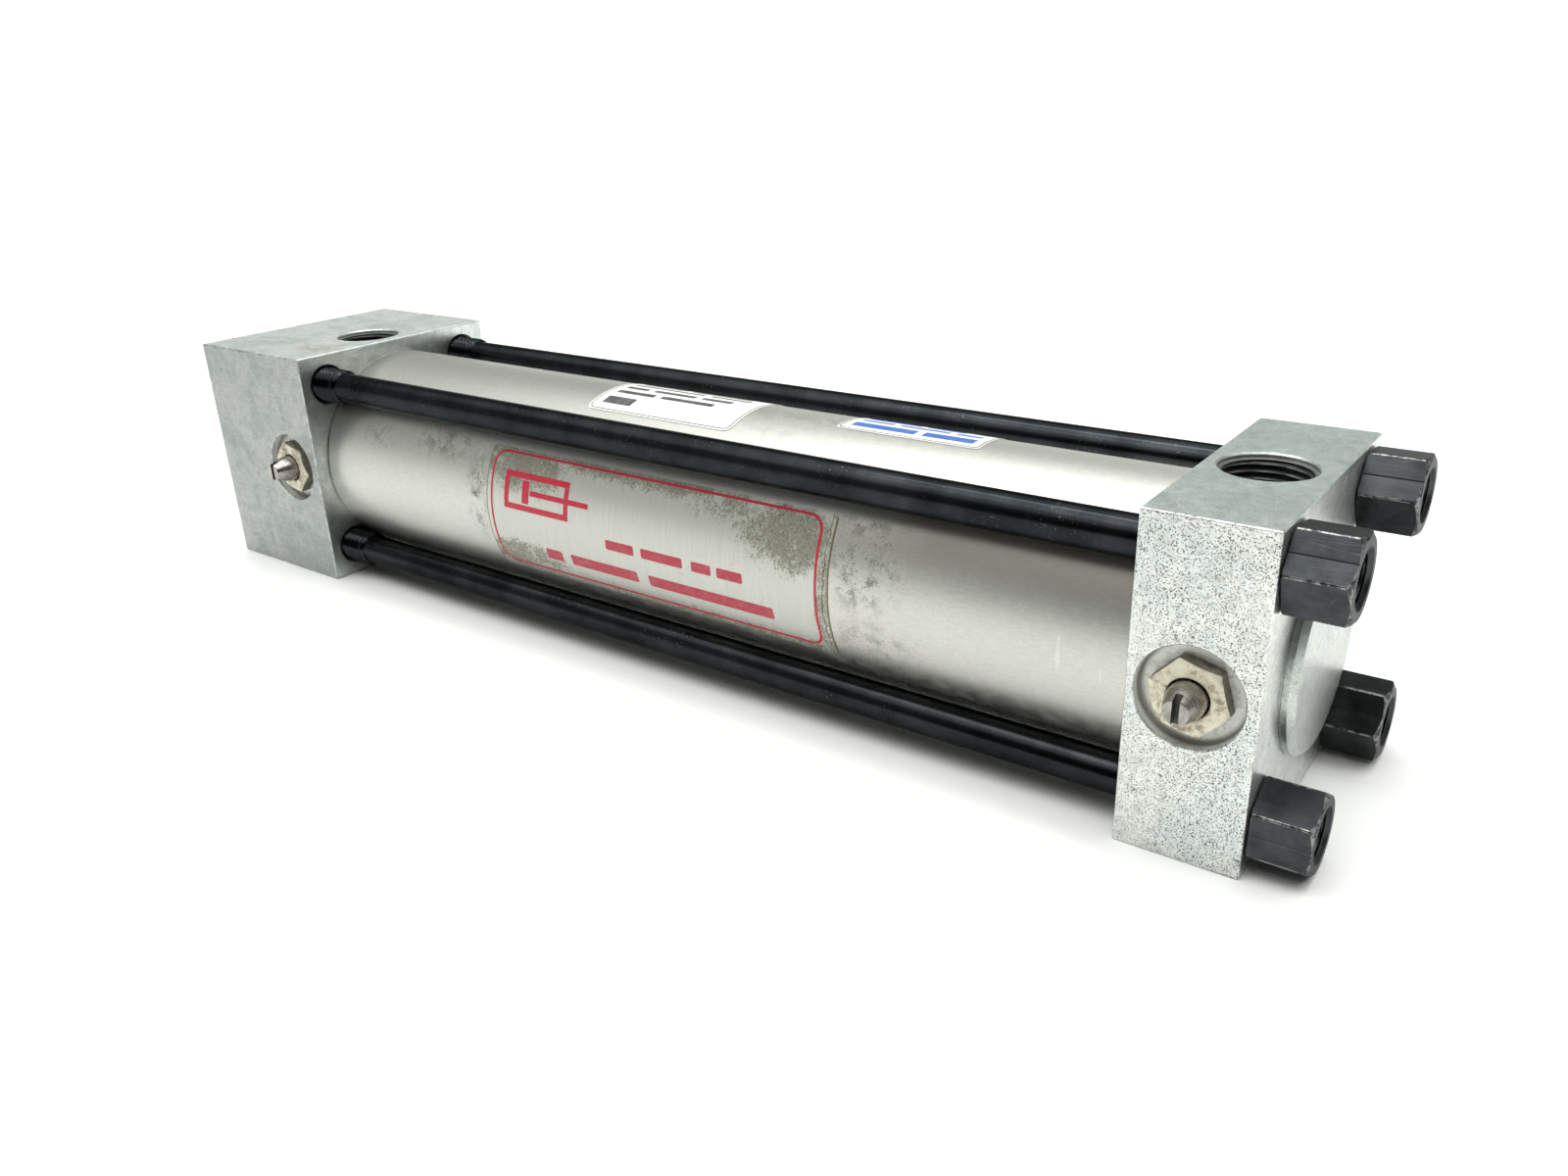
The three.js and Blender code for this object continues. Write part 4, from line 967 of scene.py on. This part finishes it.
def build_piston_rod():
    """Chromed rod, threaded and with two spanner flats at its end, necked down for the piston."""
    high = box_mm("piston_rod")[1]
    flats = ROD_END + 19
    rows = [(ROD_END, 5.3), (ROD_END + 0.05, 5.35)]
    rows += thread_rows(ROD_END + 0.9, flats - 1.2, 5.65, 6.33, 1.27, 128, fade=0.8)
    rows += [(flats - 0.9, 5.7), (flats - 0.1, 5.7), (flats, 5.8), (flats, 7.6), (flats + 0.35, ROD_R)]
    shaft_end, sleeve_neck, piston_neck = box_mm("cushion_sleeve")[0].x - 0.3, 6.5, 5.0
    neck_step = box_mm("piston")[0].x - 0.3
    rows += [(shaft_end - 0.3, ROD_R), (shaft_end, ROD_R - 0.3), (shaft_end, sleeve_neck)]
    rows += [(neck_step, sleeve_neck), (neck_step, piston_neck)]
    rows += [(high.x - 0.5, piston_neck), (high.x, piston_neck - 0.5)]
    rod = bar("piston_rod_ground", rows, 128)
    for side in (-1, 1):
        z = sorted((side * 6.35, side * 10))
        carve(rod, ("DIFFERENCE", block("flat", (flats - 0.01, -9, z[0]), (flats + 6, 9, z[1]), 0.15, 2)))
    for polygon in rod.data.polygons:
        polygon.material_index = 1 if polygon.center.x < flats - 0.05 else 0
    done(rod, "rod_and_piston", "hard_chrome", ["piston_rod"], CHROME, ROD_THREAD, smooth=40)


build_rod_bushing()
build_wiper()
build_retaining_ring()
build_piston_rod()

# ---- labels ----

LABEL_SIDE = (-178.5, -75.6)
FILM_R = TUBE_R + 0.02
FILM_THICKNESS = 0.1
INK_R = FILM_R + FILM_THICKNESS - 0.005
INK_THICKNESS = 0.03


def on_tube(x, arc, radius):
    """Point on the tube: arc is in millimetres from -Y up towards +Z."""
    angle = arc / TUBE_R
    return (x, -radius * math.cos(angle), radius * math.sin(angle))


def shell(name, rows, radius, thickness, columns):
    """Closed thin skin on the tube from rows of (arc, x from, x to)."""
    vertices, faces = [], []
    wide = columns + 1
    for r in (radius, radius + thickness):
        for arc, a, b in rows:
            vertices.extend(on_tube(a + (b - a) * i / columns, arc, r) for i in range(wide))
    back = len(rows) * wide
    for j in range(len(rows) - 1):
        for i in range(columns):
            a = j * wide + i
            faces.append((a, a + 1, a + 1 + wide, a + wide))
            faces.append((back + a, back + a + wide, back + a + 1 + wide, back + a + 1))
    last = (len(rows) - 1) * wide
    for i in range(columns):
        faces.append((i, back + i, back + i + 1, i + 1))
        faces.append((last + i, last + i + 1, back + last + i + 1, back + last + i))
    for j in range(len(rows) - 1):
        a = j * wide
        faces.append((a, a + wide, back + a + wide, back + a))
        b = a + columns
        faces.append((b, back + b, back + b + wide, b + wide))
    return new_object(name, vertices, faces)


def rounded_rows(x0, x1, arc0, arc1, corner):
    """Rows of a rounded rectangle, close together where its corners turn."""
    rows = []
    ends = [corner * (1 - math.cos(t)) for t in np.linspace(0.12, math.pi / 2, 9)]
    inner = np.arange(arc0 + corner, arc1 - corner, 1.0)
    arcs = sorted({*(arc0 + e for e in ends), *inner, *(arc1 - e for e in ends)})
    for arc in arcs:
        depth = max(0.0, corner - min(arc - arc0, arc1 - arc))
        inset = corner - math.sqrt(max(0.0, corner**2 - depth**2))
        rows.append((arc, x0 + inset, x1 - inset))
    return rows


def frame_line(name, x0, x1, arc0, arc1, corner, width):
    """Closed thin printed line along a rounded rectangle on the tube."""
    centres = [(x1 - corner, arc1 - corner), (x0 + corner, arc1 - corner)]
    centres += [(x0 + corner, arc0 + corner), (x1 - corner, arc0 + corner)]

    def outline(radius):
        """Points round the four corners, with straight runs between them."""
        corners, points = [], []
        for quarter, (x, arc) in enumerate(centres):
            turn = np.radians(np.linspace(90 * quarter, 90 * quarter + 90, 9))
            corners.append(np.column_stack((x + radius * np.cos(turn), arc + radius * np.sin(turn))))
        for here, following in zip(corners, corners[1:] + corners[:1]):
            points += [*here, *np.linspace(here[-1], following[0], 26)[1:-1]]
        return points

    loops = [outline(corner), outline(corner - width)]
    count = len(loops[0])
    levels = (INK_R, INK_R + INK_THICKNESS)
    vertices = [on_tube(x, arc, level) for level in levels for loop in loops for x, arc in loop]
    faces = []
    for i in range(count):
        j = (i + 1) % count
        faces.append((i, j, count + j, count + i))
        faces.append((2 * count + i, 3 * count + i, 3 * count + j, 2 * count + j))
        faces.append((i, 2 * count + i, 2 * count + j, j))
        faces.append((count + i, count + j, 3 * count + j, 3 * count + i))
    return new_object(name, vertices, faces)


def arc_of(degrees):
    return math.radians(degrees) * TUBE_R


def print_bar(name, x0, x1, arc0, arc1, material, slot, corner):
    columns = max(2, int((x1 - x0) / 2))
    piece = shell(name, rounded_rows(x0, x1, arc0, arc1, corner), INK_R, INK_THICKNESS, columns)
    done(piece, "barrel", slot, [], material)


FILM = label_clear()
RED = ink("label_red_ink", (0.50, 0.004, 0.036), (0.46, 0.05, 0.07), 0.35)
RED_THIN = ink("label_red_ink_thin", (0.45, 0.02, 0.05), (0.46, 0.13, 0.13), 0.55)
DARK = ink("label_dark_ink", (0.035, 0.035, 0.04), (0.2, 0.2, 0.2), 0.5)
BLUE = ink("label_blue_ink", (0.02, 0.11, 0.42), (0.1, 0.22, 0.5), 0.5)


def build_side_label():
    """Clear film with a red border, a cylinder sign and a bar for each word."""
    rows = rounded_rows(*LABEL_SIDE, arc_of(-32), arc_of(35), 1.2)
    film = shell("label_side_film", rows, FILM_R, FILM_THICKNESS, 60)
    done(film, "barrel", "label_film", ["label_side"], FILM)
    line = frame_line("label_side_border", -176.9, -78.4, arc_of(-28.5), arc_of(33.5), 3.8, 0.62)
    done(line, "barrel", "label_film", [], RED)
    # Cylinder sign: a barrel's outline, with a piston in it and a rod out of it.
    left, right, low, high, thick = -172.0, -150.0, 2.2, 11.6, 1.5
    inner_low, inner_high, centre = low + thick, high - thick, (low + high) / 2
    sign = {
        "barrel_bottom": (left, right, low, inner_low, 0.3),
        "barrel_top": (left, right, inner_high, high, 0.3),
        "barrel_left": (left, left + thick, inner_low + 0.02, inner_high - 0.02, 0.05),
        "barrel_right": (right - thick, right, inner_low + 0.02, inner_high - 0.02, 0.05),
        "piston": (left + 6.2, left + 8.6, inner_low + 0.4, inner_high - 0.4, 0.3),
        "rod": (left + 8.9, right + 6.5, centre - 0.65, centre + 0.65, 0.3),
    }
    for part, (*sides, corner) in sign.items():
        print_bar(f"sign_{part}", *sides, RED, "label_film", corner)
    small_words = [(-138.0, 8.7), (-127.0, 12.3), (-112.0, 5.5), (-104.8, 7.0)]
    large_words = [(-159.5, 5.5), (-151.0, 21.5), (-126.0, 35.6)]
    lines = {"small": (-2.2, 0.2, 0.4, small_words), "large": (-9.4, -6.4, 0.5, large_words)}
    for size, (arc0, arc1, corner, words) in lines.items():
        for i, (x, length) in enumerate(words):
            print_bar(f"{size}_line_bar_{i}", x, x + length, arc0, arc1, RED_THIN, "label_film", corner)


def build_top_label(part, span, degrees, corner, inset, border_corner, printing, lines):
    """White film with a thin border, and a bar for each word of lines of (arc, height, words)."""
    rows = rounded_rows(*span, *(arc_of(d) for d in degrees), corner)
    film = shell(f"label_top_{part}_film", rows, FILM_R, FILM_THICKNESS, 30)
    done(film, "barrel", "label_white", [f"label_top_{part}"], label_white(f"label_white_film_{part}", *span))
    arcs = arc_of(degrees[0] + inset[1]), arc_of(degrees[1] - inset[1])
    name = f"label_top_{part}_border"
    line = frame_line(name, span[0] + inset[0], span[1] - inset[0], *arcs, border_corner, 0.25)
    done(line, "barrel", "label_white", [], DARK)
    for row, (arc, height, words) in enumerate(lines):
        for i, (x, length) in enumerate(words):
            name = f"top_{part}_bar_{row}_{i}"
            print_bar(name, x, x + length, arc, arc + height, printing, "label_white", 0.3)


build_side_label()
WIDE_LINES = [
    (34.6, 3.2, [(-154.0, 9.0)]),
    (40.0, 1.6, [(-154.0, 12.0), (-140.0, 16.0)]),
    (43.4, 1.6, [(-154.0, 7.0), (-145.0, 13.0), (-130.0, 9.0)]),
    (46.8, 1.2, [(-154.0, 22.0), (-130.0, 12.0)]),
    (49.6, 1.2, [(-154.0, 14.0), (-138.0, 18.0)]),
]
build_top_label("wide", (-157.0, -112.8), (65, 111), 2.0, (0.6, 1.0), 1.7, DARK, WIDE_LINES)
NARROW_LINES = [
    (42.2, 2.6, [(-87.0, 15.6), (-69.6, 12.0)]),
    (46.6, 1.4, [(-87.0, 8.0), (-77.4, 12.0), (-63.8, 6.0)]),
    (49.6, 1.4, [(-87.0, 13.0), (-72.4, 9.0)]),
]
build_top_label("narrow", (-89.4, -55.1), (82, 108), 0.8, (0.4, 0.8), 0.9, BLUE, NARROW_LINES)

# ---- pieces kept from the frame ----

ALLOY = turned_metal("turned_piston_alloy", (0.74, 0.75, 0.76), (0.55, 0.56, 0.57), 0.34, ROUND_AXIS)
WEAR_PLASTIC = soft_plastic("filled_acetal", (0.30, 0.15, 0.075), (0.2, 0.095, 0.045), 0.6)
MAGNET = soft_plastic("bonded_ferrite", (0.075, 0.075, 0.08), (0.04, 0.04, 0.044), 0.6)
SLEEVE_STEEL = turned_metal("sleeve_stainless", (0.66, 0.64, 0.62), (0.46, 0.44, 0.43), 0.24, ROUND_AXIS)
KEPT = {
    "piston": ALLOY,
    "piston_wear_ring": WEAR_PLASTIC,
    "position_magnet_ring": MAGNET,
    "cushion_sleeve": SLEEVE_STEEL,
    "cushion_spud_nut": SLEEVE_STEEL,
}
for name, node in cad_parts.items():
    if node.hide_render:
        continue
    node.data.materials.clear()
    node.data.materials.append(KEPT.get(name, RUBBER))

# ---- floor, light and camera ----


def build_floor():
    p = Paint("pale_floor", roughness=0.55)
    cloud = p.noise(0.004, 3.0)
    fine = p.noise(0.4, 4.0, 0.6)
    color = p.tint(cloud, (0.91, 0.91, 0.90), (0.94, 0.94, 0.93))
    shape = bmesh.new()
    bmesh.ops.create_grid(shape, x_segments=8, y_segments=8, size=6.0)
    floor = linked("studio_floor", mesh_of("studio_floor", shape))
    floor.data.materials.append(p.finish(color, p.blend(fine, 0.5, 0.6), p.bump(fine, 0.02)))


def add_light(name, kind, energy, direction):
    lamp = linked(name, bpy.data.lights.new(name, kind))
    lamp.data.energy = energy
    lamp.rotation_euler = direction.to_track_quat("-Z", "Y").to_euler()
    return lamp


def build_lights():
    """A narrow lamp along the cylinder and an even glow from the ceiling."""
    place = Vector((-0.1, 0.12, 1.1))
    softbox = add_light("overhead_softbox", "AREA", 3.5, Vector((-0.12, 0.0, 0.0)) - place)
    softbox.location = place
    softbox.data.shape = "RECTANGLE"
    softbox.data.size, softbox.data.size_y = 1.2, 0.09
    glow = add_light("ceiling_glow", "SUN", 1.2, Vector((0.15, 0.12, -0.98)))
    glow.data.angle = math.radians(45)


def build_world():
    """White tent: bright above and behind, dim in the opening on the camera's side.

    The camera itself sees plain white all round."""
    world = bpy.data.worlds.new("white_tent")
    world.use_nodes = True
    bpy.context.scene.world = world
    t = Tree(world.node_tree)
    x, y, height = t.split(t.nodes.new("ShaderNodeTexCoord").outputs["Generated"])
    toward_camera = t.add(t.mul(x, 0.605), t.mul(y, -0.796))
    opening = t.mul(t.step(toward_camera, 0.2, 0.6), t.step(height, 0.6, 0.85, 1.0, 0.0))
    wall = t.step(height, 0.05, 0.2, 1.1, 0.42)
    ceiling = t.step(height, 0.55, 0.75, 0.0, 1.6)
    zenith = t.step(height, 0.88, 0.96, 1.0, 0.55)
    strength = t.mul(t.add(wall, ceiling), zenith, t.step(opening, 0.0, 1.0, 1.0, 0.08))
    seen = t.nodes.new("ShaderNodeLightPath").outputs["Is Camera Ray"]
    background = t.nodes["Background"]
    t.link(t.high(strength, t.mul(seen, 1.1)), background.inputs["Strength"])
    background.inputs["Color"].default_value = (0.985, 1.0, 0.965, 1.0)


def build_camera():
    """Camera at the photograph's place and angle."""
    azimuth, elevation, roll = -52.76825, 22.79897, -2.10566
    camera = linked("camera", bpy.data.cameras.new("camera"))
    camera.data.lens = 28.076
    camera.data.sensor_width = 36
    camera.data.clip_start = 0.01
    camera.data.clip_end = 60
    rotation = Matrix.Rotation(math.radians(90 + azimuth), 4, "Z")
    rotation @= Matrix.Rotation(math.radians(90 - elevation), 4, "X")
    rotation @= Matrix.Rotation(math.radians(roll), 4, "Z")
    camera.matrix_world = Matrix.Translation(Vector((55.2505, -214.6601, 129.7518)) * MM) @ rotation
    bpy.context.scene.camera = camera


build_floor()
build_lights()
build_world()
build_camera()
bpy.context.scene.view_settings.view_transform = "Standard"

bpy.context.view_layer.update()
